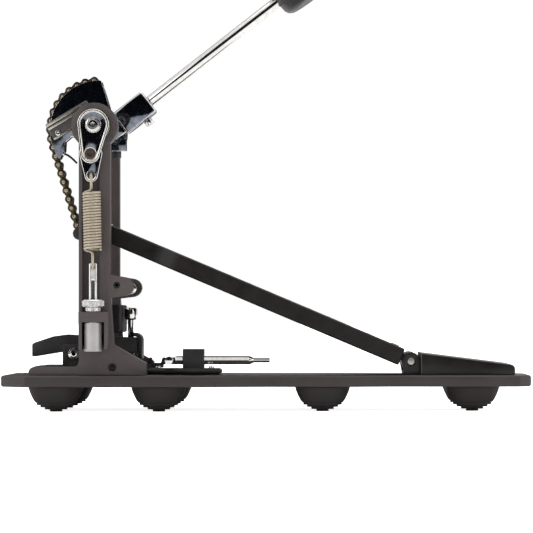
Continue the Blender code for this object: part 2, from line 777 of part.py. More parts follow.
def build_collar(pedal, reach):
    """Build the clamp collar on the far side of the cam."""
    start = reach + 9 * MM
    end = start + 10 * MM
    collar = across(0.0, 0.0, start, end, 9.5 * MM, 24)
    unite(collar, box((4 * MM, start, -13 * MM), (17 * MM, end, -MM)))
    cut(collar, across(0.0, 0.0, start - MM, end + MM, SHAFT_RADIUS + PIN_GAP))
    bolt_x, bolt_y = 9.5 * MM, (start + end) / 2
    unite(collar, upright(bolt_x, bolt_y, -18 * MM, -12 * MM, 3.5 * MM, 12))
    pedal.add(collar, "shaft_collar", "plated", pedal.axle)


def build_lever(pedal):
    """Build the spring lever and the bolt that holds it on the shaft."""
    axle = pedal.axle
    pivot_x, pivot_z = lever_pivot()
    outer, inner = -LEVER_OUTER_Y, -LEVER_INNER_Y
    lean = math.degrees(math.atan2(pivot_z, pivot_x))
    spread = math.degrees(math.acos((LEVER_BIG_RADIUS - LEVER_SMALL_RADIUS) / LEVER_LENGTH))
    points = arc(0.0, 0.0, LEVER_BIG_RADIUS, lean + spread, lean + 360 - spread, 18)
    points += arc(pivot_x, pivot_z, LEVER_SMALL_RADIUS, lean - spread, lean + spread, 10)
    lever = side_outline(points, outer, inner)
    bevel(lever, 0.6 * MM, 1, 60.0)
    cut(lever, across(0.0, 0.0, outer - MM, inner + MM, SHAFT_RADIUS + PIN_GAP))
    well = across(pivot_x, pivot_z, outer - MM, outer + 3 * MM, 4.2 * MM, 16)
    cut(lever, well)
    pedal.add(lever, "spring_lever", "plated", axle)
    end = outer - GAP
    bolt = across(0.0, 0.0, end - LEVER_BOLT_HEAD, end, LEVER_BOLT_RADIUS, 16)
    well = across(0.0, 0.0, end - LEVER_BOLT_HEAD - MM, end - MM, 2.4 * MM, 6)
    cut(bolt, well)
    pedal.add(bolt, "lever_bolt", "zinc", axle)


# ---------------------------------------------------------------- chain

def outer_link():
    """Return a chain link with outer plates and two pins, along +X from its first pin."""
    plate_near = CHAIN_INNER_HALF + 0.3 * MM
    plate_far = plate_near + CHAIN_PLATE
    points = link_outline(1)
    link = side_outline(points, -plate_far, -plate_near)
    other = side_outline(points, plate_near, plate_far)
    pins = []
    for index in (0, 1):
        x = index * CHAIN_PITCH
        pins.append(across(x, 0.0, -plate_near - GAP, plate_near + GAP,
                           CHAIN_PIN_RADIUS, 8))
    return unite(link, other, *pins)


def inner_link(links, open_ends=(0, 1)):
    """Return a run of inner links along +X, with holes for the pins of its ends."""
    half = CHAIN_INNER_HALF
    link = side_outline(link_outline(links), -half, half)
    for index in open_ends:
        x = index * links * CHAIN_PITCH
        hole = across(x, 0.0, -half - MM, half + MM, CHAIN_PIN_RADIUS + PIN_GAP, 8)
        cut(link, hole)
    return link


def link_outline(links):
    """Return the waisted outline of a run of chain links along +X."""
    radius = CHAIN_PLATE_RADIUS
    waists = (radius * CHAIN_WAIST, radius * CHAIN_OUTER_WAIST)
    top = arc(0.0, 0.0, radius, 225, 60, 5)
    for index in range(1, links + 1):
        x = index * CHAIN_PITCH
        top.append((x - CHAIN_PITCH / 2, waists[index % 2]))
        last = index == links
        top += arc(x, 0.0, radius, 120, -45 if last else 60, 5 if last else 2)
    bottom = []
    for index in range(links, 0, -1):
        x = index * CHAIN_PITCH
        if index < links:
            bottom += arc(x, 0.0, radius, -60, -120, 2)
        bottom.append((x - CHAIN_PITCH / 2, -waists[index % 2]))
    return top + bottom


def build_chain(pedal):
    """Build the links on the cam, the free links and the straight run to the toe."""
    pins = chain_pins()
    fixed = pins[:CHAIN_FIXED_LINKS]
    hinge = pins[CHAIN_FIXED_LINKS]
    pedal.add(fixed_chain(fixed + [hinge]), "cam_chain", "chain_steel", pedal.axle)
    for index in range(CHAIN_FREE_LINKS):
        start = pins[CHAIN_FIXED_LINKS + index]
        end = pins[CHAIN_FIXED_LINKS + index + 1]
        link = outer_link() if index % 2 == 0 else inner_link(1)
        place_link(pedal, link, f"chain_link_{index + 1}", start, end)
    run = outer_link()
    links = len(pins) - CHAIN_FIXED_LINKS - CHAIN_FREE_LINKS - 2
    rest = inner_link(links, ())
    rest.data.transform(Matrix.Translation((CHAIN_PITCH, 0.0, 0.0)))
    unite(run, rest)
    start = pins[CHAIN_FIXED_LINKS + CHAIN_FREE_LINKS]
    place_link(pedal, run, "chain_run", start, pins[-1])


def place_link(pedal, link, name, start, end):
    """Put a piece of chain with its first pin at one place, pointing to another."""
    pedal.add(link, name, "chain_steel", pedal.axle)
    link.location = (start[0], 0.0, start[1])
    link.rotation_euler.y = -math.atan2(end[1] - start[1], end[0] - start[0])


def fixed_chain(pins):
    """Return the links that stay on the cam, which end in a hole for the next pin."""
    first = math.atan2(pins[0][1], pins[0][0])
    last = math.atan2(pins[-1][1], pins[-1][0]) % math.tau
    start, end = math.degrees(first), math.degrees(last)
    outer = arc(0.0, 0.0, CHAIN_RADIUS + CHAIN_PLATE_RADIUS, start, end, 8)
    inner = arc(0.0, 0.0, CHAIN_RADIUS - CHAIN_PLATE_RADIUS, end, start, 8)
    half = CHAIN_INNER_HALF
    chain = side_outline(outer + inner, -half, half)
    x, z = pins[-1]
    unite(chain, across(x, z, -half, half, CHAIN_PLATE_RADIUS, 12))
    bore = CHAIN_PIN_RADIUS + PIN_GAP
    return cut(chain, across(x, z, -half - MM, half + MM, bore, 8))


# ---------------------------------------------------------------- footboard

def board_outline(inset, heel, toe):
    """Return the footboard's outline in its own X and Y, inset by a sheet."""
    wide = BOARD_HALF_WIDTH - inset
    narrow = TOE_HALF_WIDTH - inset
    taper_end = -board_reach() + TOE_TAPER_START - TOE_TAPER_LENGTH
    side = [(heel, wide)]
    for step in range(6):
        share = step / 5
        x = taper_end + TOE_TAPER_LENGTH * (1 - share)
        side.append((x, wide + (narrow - wide) * smooth_step(share)))
    side.append((toe, narrow))
    return side + [(x, -y) for x, y in reversed(side)]


def build_footboard(pedal):
    """Build the footboard, its hinge knuckle and the bracket under its toe."""
    board = pedal.board
    reach = board_reach()
    low = BOARD_TOP - BOARD_DEPTH
    under = BOARD_TOP - BOARD_SHEET
    shell = plan_outline(board_outline(0.0, -BOARD_HEEL_GAP, -reach), low, BOARD_TOP)
    bevel(shell, 0.8 * MM)
    hollow = plan_outline(board_outline(SKIRT_SHEET, MM, -reach - MM), low - MM, under)
    cut(shell, hollow)
    pedal.add(shell, "footboard", "board_metal", board)
    knuckle = box((-38 * MM, -KNUCKLE_HALF, -2.0 * MM), (-3 * MM, KNUCKLE_HALF, under - GAP))
    unite(knuckle, across(0.0, 0.0, -KNUCKLE_HALF, KNUCKLE_HALF, KNUCKLE_RADIUS))
    bore = HINGE_PIN_RADIUS + PIN_GAP
    cut(knuckle, across(0.0, 0.0, -KNUCKLE_HALF - MM, KNUCKLE_HALF + MM, bore, 16))
    pedal.add(knuckle, "hinge_knuckle", "clamp_metal", board)
    build_chain_bracket(pedal, reach, under)


def build_chain_bracket(pedal, reach, under):
    """Build the fork under the toe that the chain ends in."""
    fork_inner = CHAIN_INNER_HALF + CHAIN_PLATE + 0.3 * MM + SIDE_GAP
    fork_outer = fork_inner + 3 * MM
    pivot_z = -PIVOT_DROP
    top = under - GAP
    ear = [(-reach + 22 * MM, top), (-reach + 0.5 * MM, top)]
    ear += arc(-reach, pivot_z, 4.5 * MM, 150, 330, 8)
    bracket = side_outline(ear, -fork_outer, -fork_inner)
    other = side_outline(ear, fork_inner, fork_outer)
    bridge = box((-reach + 8 * MM, -fork_inner - MM, top - 2.5 * MM),
                 (-reach + 22 * MM, fork_inner + MM, top))
    unite(bracket, bridge, other)
    pedal.add(bracket, "chain_bracket", "clamp_metal", pedal.board)


def build_heel(pedal):
    """Build the heel plate and the hinge ears in front of it."""
    ear_inner = KNUCKLE_HALF + SIDE_GAP + 0.2 * MM
    ear_outer = ear_inner + EAR_THICKNESS
    foot = [(HINGE_X + EAR_RADIUS - 0.1 * MM, STAND), (HINGE_X + EAR_RADIUS - 0.1 * MM, HINGE_Z)]
    ear = foot + arc(HINGE_X, HINGE_Z, EAR_RADIUS, 10, 200, 10)
    ear.append((HINGE_X - EAR_RADIUS * 0.75, STAND))
    hinge = side_outline(ear, -ear_outer, -ear_inner)
    other = side_outline(ear, ear_inner, ear_outer)
    strip_top = HINGE_Z - KNUCKLE_RADIUS - 0.6 * MM
    strip = box((HINGE_X - EAR_RADIUS * 0.75, -ear_outer + MM, STAND),
                (HINGE_X + EAR_RADIUS - 0.1 * MM, ear_outer - MM, strip_top))
    unite(hinge, strip, other)
    bore = HINGE_PIN_RADIUS + PIN_GAP
    cut(hinge, across(HINGE_X, HINGE_Z, -ear_outer - MM, ear_outer + MM, bore, 16))
    pedal.add(hinge, "heel_hinge", "clamp_metal")
    pin_end = ear_outer + 0.8 * MM
    pin = across(HINGE_X, HINGE_Z, -pin_end, pin_end, HINGE_PIN_RADIUS, 16)
    pedal.add(pin, "hinge_pin", "zinc")
    start = HINGE_X + EAR_RADIUS + 0.2 * MM
    end = start + HEEL_LENGTH
    cap = 3.6 * MM
    outline = [(start, STAND), (start, PLATE_TOP + HEEL_FRONT_HEIGHT)]
    outline += arc(end - cap, PLATE_TOP + HEEL_REAR_HEIGHT - cap, cap, 83, 0, 4)
    outline.append((end, STAND))
    heel = side_outline(outline, -BOARD_HALF_WIDTH, BOARD_HALF_WIDTH)
    inner = BOARD_HALF_WIDTH - HEEL_WALL
    hollow = [
        (start + HEEL_WALL, STAND - MM),
        (start + HEEL_WALL, PLATE_TOP + HEEL_FRONT_HEIGHT - HEEL_WALL - MM),
        (end - 4 * HEEL_WALL, PLATE_TOP + HEEL_REAR_HEIGHT - HEEL_WALL),
        (end - 4 * HEEL_WALL, STAND - MM),
    ]
    cut(heel, side_outline(hollow, -inner, inner))
    pedal.add(heel, "heel_plate", "board_metal")


# ---------------------------------------------------------------- beater

def build_beater(pedal):
    """Build the block that holds the rod, the rod and the two-sided head."""
    line = pedal.beater
    hub = box((HUB_START, -HUB_HALF_WIDTH, HUB_LOW), (HUB_END, HUB_HALF_WIDTH, HUB_HIGH))
    bevel(hub, 1.6 * MM, 2)
    bore = ROD_RADIUS + PIN_GAP
    cut(hub, cylinder((HUB_START - MM, 0, BEATER_OFFSET),
                      (HUB_END + MM, 0, BEATER_OFFSET), bore, 16))
    bolt_x = HUB_START + 17 * MM
    cut(hub, upright(bolt_x, 0, HUB_LOW - MM, BEATER_OFFSET, 2.0 * MM + PIN_GAP, 12))
    pedal.add(hub, "beater_hub", "plated", line)
    bolt = upright(bolt_x, 0, HUB_LOW - GAP - 4 * MM, HUB_LOW - GAP, 3.3 * MM, 12)
    unite(bolt, upright(bolt_x, 0, HUB_LOW - MM, BEATER_OFFSET - ROD_RADIUS - GAP, 2.0 * MM, 12))
    pedal.add(bolt, "beater_bolt", "chrome", line)
    rod_start = HUB_START + GAP
    rod_end = rod_start + ROD_LENGTH
    rod = cylinder((rod_start, 0, BEATER_OFFSET), (rod_end, 0, BEATER_OFFSET), ROD_RADIUS, 16)
    pedal.add(rod, "beater_rod", "chrome", line)
    centre = rod_end - HEAD_FROM_ROD_END
    origin = (centre, 0.0, BEATER_OFFSET)
    back = BEATER_OFFSET - CORE_LENGTH / 2
    front = BEATER_OFFSET + CORE_LENGTH / 2
    edge = 2.5 * MM
    profile = [(0.0, front), (HEAD_RADIUS - MM, front), (HEAD_RADIUS - MM, back + 2 * edge),
               (HEAD_RADIUS - edge, back + edge), (HEAD_RADIUS - 2.5 * edge, back), (0.0, back)]
    core = turned(profile, 24)
    core.data.transform(Matrix.Translation((centre, 0.0, 0.0)))
    cut(core, cylinder((centre - HEAD_RADIUS - MM, 0, BEATER_OFFSET),
                       (rod_end + GAP, 0, BEATER_OFFSET), bore, 16))
    pedal.add(core, "beater_core", "plastic", line, origin)
    felt_back = front + GAP
    felt_front = felt_back + FELT_LENGTH
    profile = [(0.0, felt_front)]
    profile += arc(HEAD_RADIUS - 9 * MM, felt_front - 9 * MM, 9 * MM, 88, 0, 4)
    profile += [(HEAD_RADIUS, felt_back), (0.0, felt_back)]
    felt = turned(profile, 24)
    felt.data.transform(Matrix.Translation((centre, 0.0, 0.0)))
    pedal.add(felt, "beater_felt", "felt", line, origin)


# ---------------------------------------------------------------- spring

def helix(start, end, turns, radius, steps):
    """Return points up a coil about Z."""
    points = []
    for index in range(turns * steps + 1):
        angle = math.tau * index / steps
        height = start + (end - start) * index / (turns * steps)
        points.append((radius * math.cos(angle), radius * math.sin(angle), height))
    return points


def hook_points(eye, foot, side):
    """Return points of a hook round an eye, from the coil's end at a height."""
    turn = HOOK_HALF
    points = [(0.0, 0.0, foot), (0.0, 0.0, foot + side * 2 * MM)]
    reach = abs(eye - foot) - 4.5 * MM
    points.append((0.0, -turn, foot + side * reach))
    for step in range(7):
        angle = math.radians(180 - 30 * step)
        y = turn * math.cos(angle)
        points.append((0.0, y, eye + side * (turn * 0.55 * math.sin(angle) - 1.0 * MM)))
    points.append((0.0, turn, eye - side * 4.0 * MM))
    return points


def build_spring(pedal):
    """Build the coil, its hooks and the link that the lever pulls."""
    line = pedal.spring
    length = spring_line()[0]
    eye = length - LINK_EYE_DROP
    coil = wire(helix(COIL_START, COIL_END, COIL_TURNS, COIL_RADIUS, 8), COIL_WIRE)
    pedal.add(coil, "spring_coil", "spring_steel", line)
    lower_foot = COIL_START - COIL_WIRE - HOOK_WIRE - 2 * GAP
    lower = wire(hook_points(0.0, lower_foot, -1), HOOK_WIRE)
    pedal.add(lower, "spring_lower_hook", "spring_steel", line)
    upper_foot = COIL_END + COIL_WIRE + HOOK_WIRE + 2 * GAP
    upper = wire(hook_points(eye, upper_foot, 1), HOOK_WIRE)
    pedal.add(upper, "spring_upper_hook", "spring_steel", line, (0.0, 0.0, upper_foot))
    points = arc(0.0, length, LINK_HALF_WIDTH, 0, 180, 10)
    points += [(-LINK_HALF_WIDTH, length - 4 * MM), (-LINK_END_HALF_WIDTH, eye + 3 * MM)]
    points += arc(0.0, eye, LINK_END_HALF_WIDTH, 180, 360, 8)
    points += [(LINK_END_HALF_WIDTH, eye + 3 * MM), (LINK_HALF_WIDTH, length - 4 * MM)]
    half = LINK_THICKNESS / 2
    link = side_outline(points, -half, half)
    cut(link, across(0.0, eye, -half - MM, half + MM, LINK_EYE_RADIUS, 14))
    pedal.add(link, "spring_link", "plated", line, (0.0, 0.0, length))


def build_tension(pedal):
    """Build the eye bolt, its nut and ring, and the sleeve under the block."""
    x = AXLE_X + ANCHOR_X
    y = -SPRING_Y
    block_low = PLATE_TOP + BLOCK_LOW
    block_high = PLATE_TOP + BLOCK_HIGH
    sleeve_low = block_low - GAP - SLEEVE_LENGTH
    bolt = box((x - EYE_HALF_WIDTH, y - EYE_HALF_THICKNESS, ANCHOR_HEIGHT - 6 * MM),
               (x + EYE_HALF_WIDTH, y + EYE_HALF_THICKNESS, ANCHOR_HEIGHT + 2.9 * MM))
    unite(bolt, upright(x, y, sleeve_low + 2 * MM, ANCHOR_HEIGHT - 5 * MM, EYE_ROD_RADIUS, 12))
    cut(bolt, across(x, ANCHOR_HEIGHT, y - 4 * MM, y + 4 * MM, EYE_HOLE, 12))
    pedal.add(bolt, "eye_bolt", "zinc")
    bore = EYE_ROD_RADIUS + PIN_GAP
    ring_low = block_high + GAP
    ring_high = ring_low + RING_HEIGHT
    nut_low = ring_high + GAP
    nut_high = nut_low + NUT_HEIGHT
    rings = (
        ("lock_ring", "zinc", ring_low, ring_high, RING_RADIUS),
        ("tension_nut", "zinc", nut_low, nut_high, NUT_RADIUS),
        ("spring_sleeve", "aluminium", sleeve_low, sleeve_low + SLEEVE_LENGTH, SLEEVE_RADIUS),
    )
    for name, slot, low, high, radius in rings:
        ring = upright(x, y, low, high, radius, FINE_SEGMENTS)
        cut(ring, upright(x, y, low - MM, high + MM, bore, 16))
        pedal.add(ring, name, slot, origin=(x, y, low))


# ---------------------------------------------------------------- hoop clamp

def clamp_side():
    """Return the clamp arm's outline in X and Z, with its toothed jaw."""
    x, z = AXLE_X, PLATE_TOP
    tip = x - 47.0 * MM
    teeth = 8
    pitch = 2.8 * MM
    points = [(tip + 1.5 * MM, z + 22.3 * MM), (tip, z + 21.0 * MM), (tip, z + 13.0 * MM)]
    for tooth in range(teeth):
        left = tip + 0.6 * MM + tooth * pitch
        rise = z + 12.6 * MM + 0.46 * MM * tooth
        points += [(left + 0.2 * pitch, rise), (left + 0.8 * pitch, rise),
                   (left + pitch, rise + 1.0 * MM)]
    pivot_x, pivot_z = x + CLAMP_PIVOT_X, z + CLAMP_PIVOT_HEIGHT
    points += arc(pivot_x, pivot_z, 6.0 * MM, 180, 330, 7)
    points += [
        (x - 6.0 * MM, z + 15.0 * MM),
        (x + 26.4 * MM, z + 15.0 * MM),
        (x + 27.0 * MM, z + 17.0 * MM),
        (x + 26.2 * MM, z + 26.0 * MM),
        (x + 14.0 * MM, z + 26.2 * MM),
        (x + 2.0 * MM, z + 25.4 * MM),
        (x - 11.0 * MM, z + 27.2 * MM),
        (x - 23.0 * MM, z + 28.0 * MM),
        (x - 32.0 * MM, z + 26.8 * MM),
    ]
    return points


def build_clamp(pedal):
    """Build the hoop clamp: pad, bracket, arm, cap and screw."""
    pivot_x = AXLE_X + CLAMP_PIVOT_X
    pivot_z = PLATE_TOP + CLAMP_PIVOT_HEIGHT
    pivot = (pivot_x, 0.0, pivot_z)
    half = CLAMP_HALF_WIDTH
    pad_front = AXLE_X - SEAT_REACH + 0.6 * MM
    pad = box((pad_front, -PAD_HALF_WIDTH, STAND),
              (pivot_x - 8.5 * MM, PAD_HALF_WIDTH, STAND + SEAT_HEIGHT))
    bevel(pad, 0.8 * MM)
    pedal.add(pad, "hoop_pad", "rubber")
    arm = side_outline(clamp_side(), -half, half)
    cut(arm, across(pivot_x, pivot_z, -half - MM, half + MM, CLAMP_PIVOT_RADIUS + PIN_GAP, 16))
    screw_x = AXLE_X + CLAMP_SCREW_X
    cut(arm, upright(screw_x, 0, STAND, PLATE_TOP + 30 * MM, CLAMP_SCREW_RADIUS + CLAMP_SCREW_ROOM, 12))
    pedal.add(arm, "clamp_arm", "clamp_metal", origin=pivot)
    ear_low, ear_high = half + SIDE_GAP, half + SIDE_GAP + CLAMP_EAR
    left, right = pivot_x - 8.0 * MM, pivot_x + 5.3 * MM
    top = PLATE_TOP + 21.6 * MM
    bracket = box((left, -ear_high, STAND), (right, -ear_low, top))
    other = box((left, ear_low, STAND), (right, ear_high, top))
    strip = box((left, -ear_high + MM, STAND), (right, ear_high - MM, STAND + 2.5 * MM))
    unite(bracket, strip, other)
    bore = CLAMP_PIVOT_RADIUS + PIN_GAP
    cut(bracket, across(pivot_x, pivot_z, -ear_high - MM, ear_high + MM, bore, 16))
    pedal.add(bracket, "clamp_bracket", "clamp_metal")
    head = ear_high + GAP
    screw = across(pivot_x, pivot_z, -head - 2 * MM, -head, 3.9 * MM, 16)
    unite(screw, across(pivot_x, pivot_z, -head - MM, head + MM, CLAMP_PIVOT_RADIUS, 16))
    pedal.add(screw, "clamp_pivot_screw", "zinc")
    build_clamp_cap(pedal, pivot)
    build_clamp_screw(pedal, screw_x)


def build_clamp_cap(pedal, pivot):
    """Build the bent plate over the rear end of the clamp arm."""
    right = AXLE_X + 30.2 * MM
    sheet = 2.6 * MM
    top = PLATE_TOP + 29.2 * MM
    low = PLATE_TOP + 11.0 * MM
    start = AXLE_X + 24.3 * MM
    bend = 5.0 * MM
    points = [(start, top - sheet), (start, top)]
    points += arc(right - bend, top - bend, bend, 90, 0, 4)
    points += [(right, low), (right - sheet, low)]
    points += arc(right - bend, top - bend, bend - sheet, 0, 90, 3)
    cap = side_outline(points, -CLAMP_HALF_WIDTH, CLAMP_HALF_WIDTH)
    pedal.add(cap, "clamp_cap", "clamp_metal", origin=pivot)


def build_clamp_screw(pedal, x):
    """Build the screw with a round knob that closes the clamp."""
    top = PLATE_TOP + CLAMP_SCREW_TOP
    screw = upright(x, 0, STAND + 0.5 * MM, top + CLAMP_KNOB_HALF - MM, CLAMP_SCREW_RADIUS, 16)
    knob = upright(x, 0, top - CLAMP_KNOB_HALF, top + CLAMP_KNOB_HALF, CLAMP_KNOB_RADIUS, 24)
    bevel(knob, 1.2 * MM, 2)
    unite(screw, knob)
    pedal.add(screw, "clamp_screw", "chrome", origin=(x, 0.0, STAND))


# ---------------------------------------------------------------- tool holder

def build_tools(pedal):
    """Build the tool plate, its clip, the drum key and the wing nut."""
    start, end = AXLE_X + TOOL_PLATE_START, AXLE_X + TOOL_PLATE_END
    top = STAND + TOOL_PLATE_THICKNESS
    plate = box((start, -TOOL_PLATE_NEAR, STAND), (end, -TOOL_PLATE_FAR, top))
    bevel(plate, 1.2 * MM)
    wing_x = AXLE_X + WING_X
    cut(plate, upright(wing_x, WING_Y, STAND - MM, top + MM, 2.3 * MM + PIN_GAP, 12))
    pedal.add(plate, "tool_plate", "clamp_metal")
    clip_low = AXLE_X + CLIP_START
    clip_high = clip_low + CLIP_LENGTH
    key_z = PLATE_TOP + KEY_HEIGHT
    half = KEY_RADIUS + GAP + CLIP_WALL
    clip = box((clip_low, KEY_Y - half, top + GAP), (clip_high, KEY_Y + half, PLATE_TOP + CLIP_RISE))
    bore = KEY_RADIUS + GAP
    hole = cylinder((clip_low - MM, KEY_Y, key_z), (clip_high + MM, KEY_Y, key_z), bore, 16)
    mouth = box((clip_low - MM, KEY_Y - bore * 0.55, key_z),
                (clip_high + MM, KEY_Y + bore * 0.55, PLATE_TOP + CLIP_RISE + MM))
    cut(clip, hole, mouth)
    pedal.add(clip, "tool_clip", "plastic")
    build_key(pedal, key_z)
    nut = upright(wing_x, WING_Y, top + GAP, top + 3.6 * MM, WING_HUB_RADIUS, 12)
    wings = [(wing_x - 2.6 * MM, top + MM)]
    wings += [(wing_x - WING_HALF_SPAN, top + 3.4 * MM)]
    wings += arc(wing_x - WING_HALF_SPAN + 2 * MM, top + WING_HEIGHT - 2 * MM, 2 * MM, 180, 60, 3)
    wings += [(wing_x - 2.4 * MM, top + 3.2 * MM), (wing_x + 2.4 * MM, top + 3.2 * MM)]
    wings += arc(wing_x + WING_HALF_SPAN - 2 * MM, top + WING_HEIGHT - 2 * MM, 2 * MM, 120, 0, 3)
    wings += [(wing_x + WING_HALF_SPAN, top + 3.4 * MM), (wing_x + 2.6 * MM, top + MM)]
    unite(nut, side_outline(wings, WING_Y - 1.2 * MM, WING_Y + 1.2 * MM))
    unite(nut, upright(wing_x, WING_Y, STAND + GAP, top + MM, 2.3 * MM, 12))
    pedal.add(nut, "wing_nut", "clamp_metal", origin=(wing_x, WING_Y, STAND))


def build_key(pedal, z):
    """Build the bent drum key that the clip holds."""
    start = AXLE_X + KEY_START
    bend = 5.0 * MM
    points = [(start, KEY_Y - KEY_LEG, z)]
    for x, y in arc(start + bend, KEY_Y - bend, bend, 180, 90, 4):
        points.append((x, y, z))
    points.append((AXLE_X + KEY_SHOULDER, KEY_Y, z))
    key = wire(points, KEY_RADIUS)
    tip = cylinder((AXLE_X + KEY_SHOULDER - MM, KEY_Y, z), (AXLE_X + KEY_END, KEY_Y, z),
                   KEY_TIP_RADIUS, 12)
    unite(key, tip)
    pedal.add(key, "drum_key", "chrome", origin=(start, KEY_Y, z))


def main():
    """Build the whole pedal."""
    clear_scene()
    pedal = Assembly()
    build_base(pedal)
    build_posts(pedal)
    build_shaft(pedal)
    build_chain(pedal)
    build_footboard(pedal)
    build_heel(pedal)
    build_beater(pedal)
    build_spring(pedal)
    build_tension(pedal)
    build_clamp(pedal)
    build_tools(pedal)
    bpy.context.view_layer.update()


main()
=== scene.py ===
"""Finish a chain-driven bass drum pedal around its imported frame.

Each sub-assembly is a class that holds its sizes in metres, builds its pieces
and dresses them. Finish makes the materials, Bench makes the meshes, and the
frame's own solids give most of the places.
"""

import json
import logging
import math
from dataclasses import dataclass
from enum import Enum
from typing import Callable, Sequence

import bpy
from mathutils import Matrix, Vector

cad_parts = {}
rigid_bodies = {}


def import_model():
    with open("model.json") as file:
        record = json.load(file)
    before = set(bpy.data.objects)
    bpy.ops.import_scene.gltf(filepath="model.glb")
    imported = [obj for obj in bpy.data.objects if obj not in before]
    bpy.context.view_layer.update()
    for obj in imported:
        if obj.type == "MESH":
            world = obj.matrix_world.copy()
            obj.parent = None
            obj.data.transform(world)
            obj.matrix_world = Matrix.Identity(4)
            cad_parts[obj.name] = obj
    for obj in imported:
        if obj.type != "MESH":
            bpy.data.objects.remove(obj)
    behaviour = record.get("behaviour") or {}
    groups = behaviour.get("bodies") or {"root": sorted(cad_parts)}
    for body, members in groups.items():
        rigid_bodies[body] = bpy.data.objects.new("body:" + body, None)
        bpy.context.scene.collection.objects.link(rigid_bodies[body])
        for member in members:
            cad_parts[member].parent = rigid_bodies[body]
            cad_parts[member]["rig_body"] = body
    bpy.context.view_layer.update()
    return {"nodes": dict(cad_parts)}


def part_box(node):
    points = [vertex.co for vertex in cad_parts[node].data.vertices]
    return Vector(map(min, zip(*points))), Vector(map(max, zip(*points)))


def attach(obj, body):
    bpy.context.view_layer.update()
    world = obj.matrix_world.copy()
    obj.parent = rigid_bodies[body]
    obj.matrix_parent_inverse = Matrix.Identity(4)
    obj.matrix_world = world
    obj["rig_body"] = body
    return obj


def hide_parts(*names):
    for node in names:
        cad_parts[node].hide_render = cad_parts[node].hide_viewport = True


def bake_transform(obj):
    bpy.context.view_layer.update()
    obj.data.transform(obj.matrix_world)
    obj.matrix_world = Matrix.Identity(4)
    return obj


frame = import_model()

LOG = logging.getLogger("pedal")
MM = 0.001

Object = bpy.types.Object
Material = bpy.types.Material
Point = tuple[float, float, float]
Pair = tuple[float, float]

MID_Y = 2.4 * MM
AXLE = Vector((-118.5 * MM, MID_Y, 197.0 * MM))
HINGE = Vector((100.1 * MM, MID_Y, 34.4 * MM))
PLATE_TOP = 25.0 * MM
SPRING_Y = MID_Y - 60.0 * MM
SHARP = 0.05 * MM                 # rim of a cutting tool
STRIP_SLOT = 1                    # material slot of a rounded edge's painted highlight
LEVER_LEAN = math.radians(5.5)
LEVER_LENGTH = 20.0 * MM
BOLT_BORE = 2.8 * MM              # round the eye bolt
X, Y, Z = Vector((1, 0, 0)), Vector((0, 1, 0)), Vector((0, 0, 1))


# ------------------------------------------------------------------ finishes


class Grain(Enum):
    """How the fine surface of a finish is broken up."""

    POWDER = "powder"
    SATIN = "satin"
    MIRROR = "mirror"
    BRUSHED = "brushed"
    TURNED = "turned"
    RUBBER = "rubber"
    OILED = "oiled"
    FELT = "felt"


GRAIN_STRETCH: dict[Grain, Point] = {
    Grain.BRUSHED: (0.06, 1.0, 1.0),
    Grain.TURNED: (0.04, 0.04, 1.0),
}


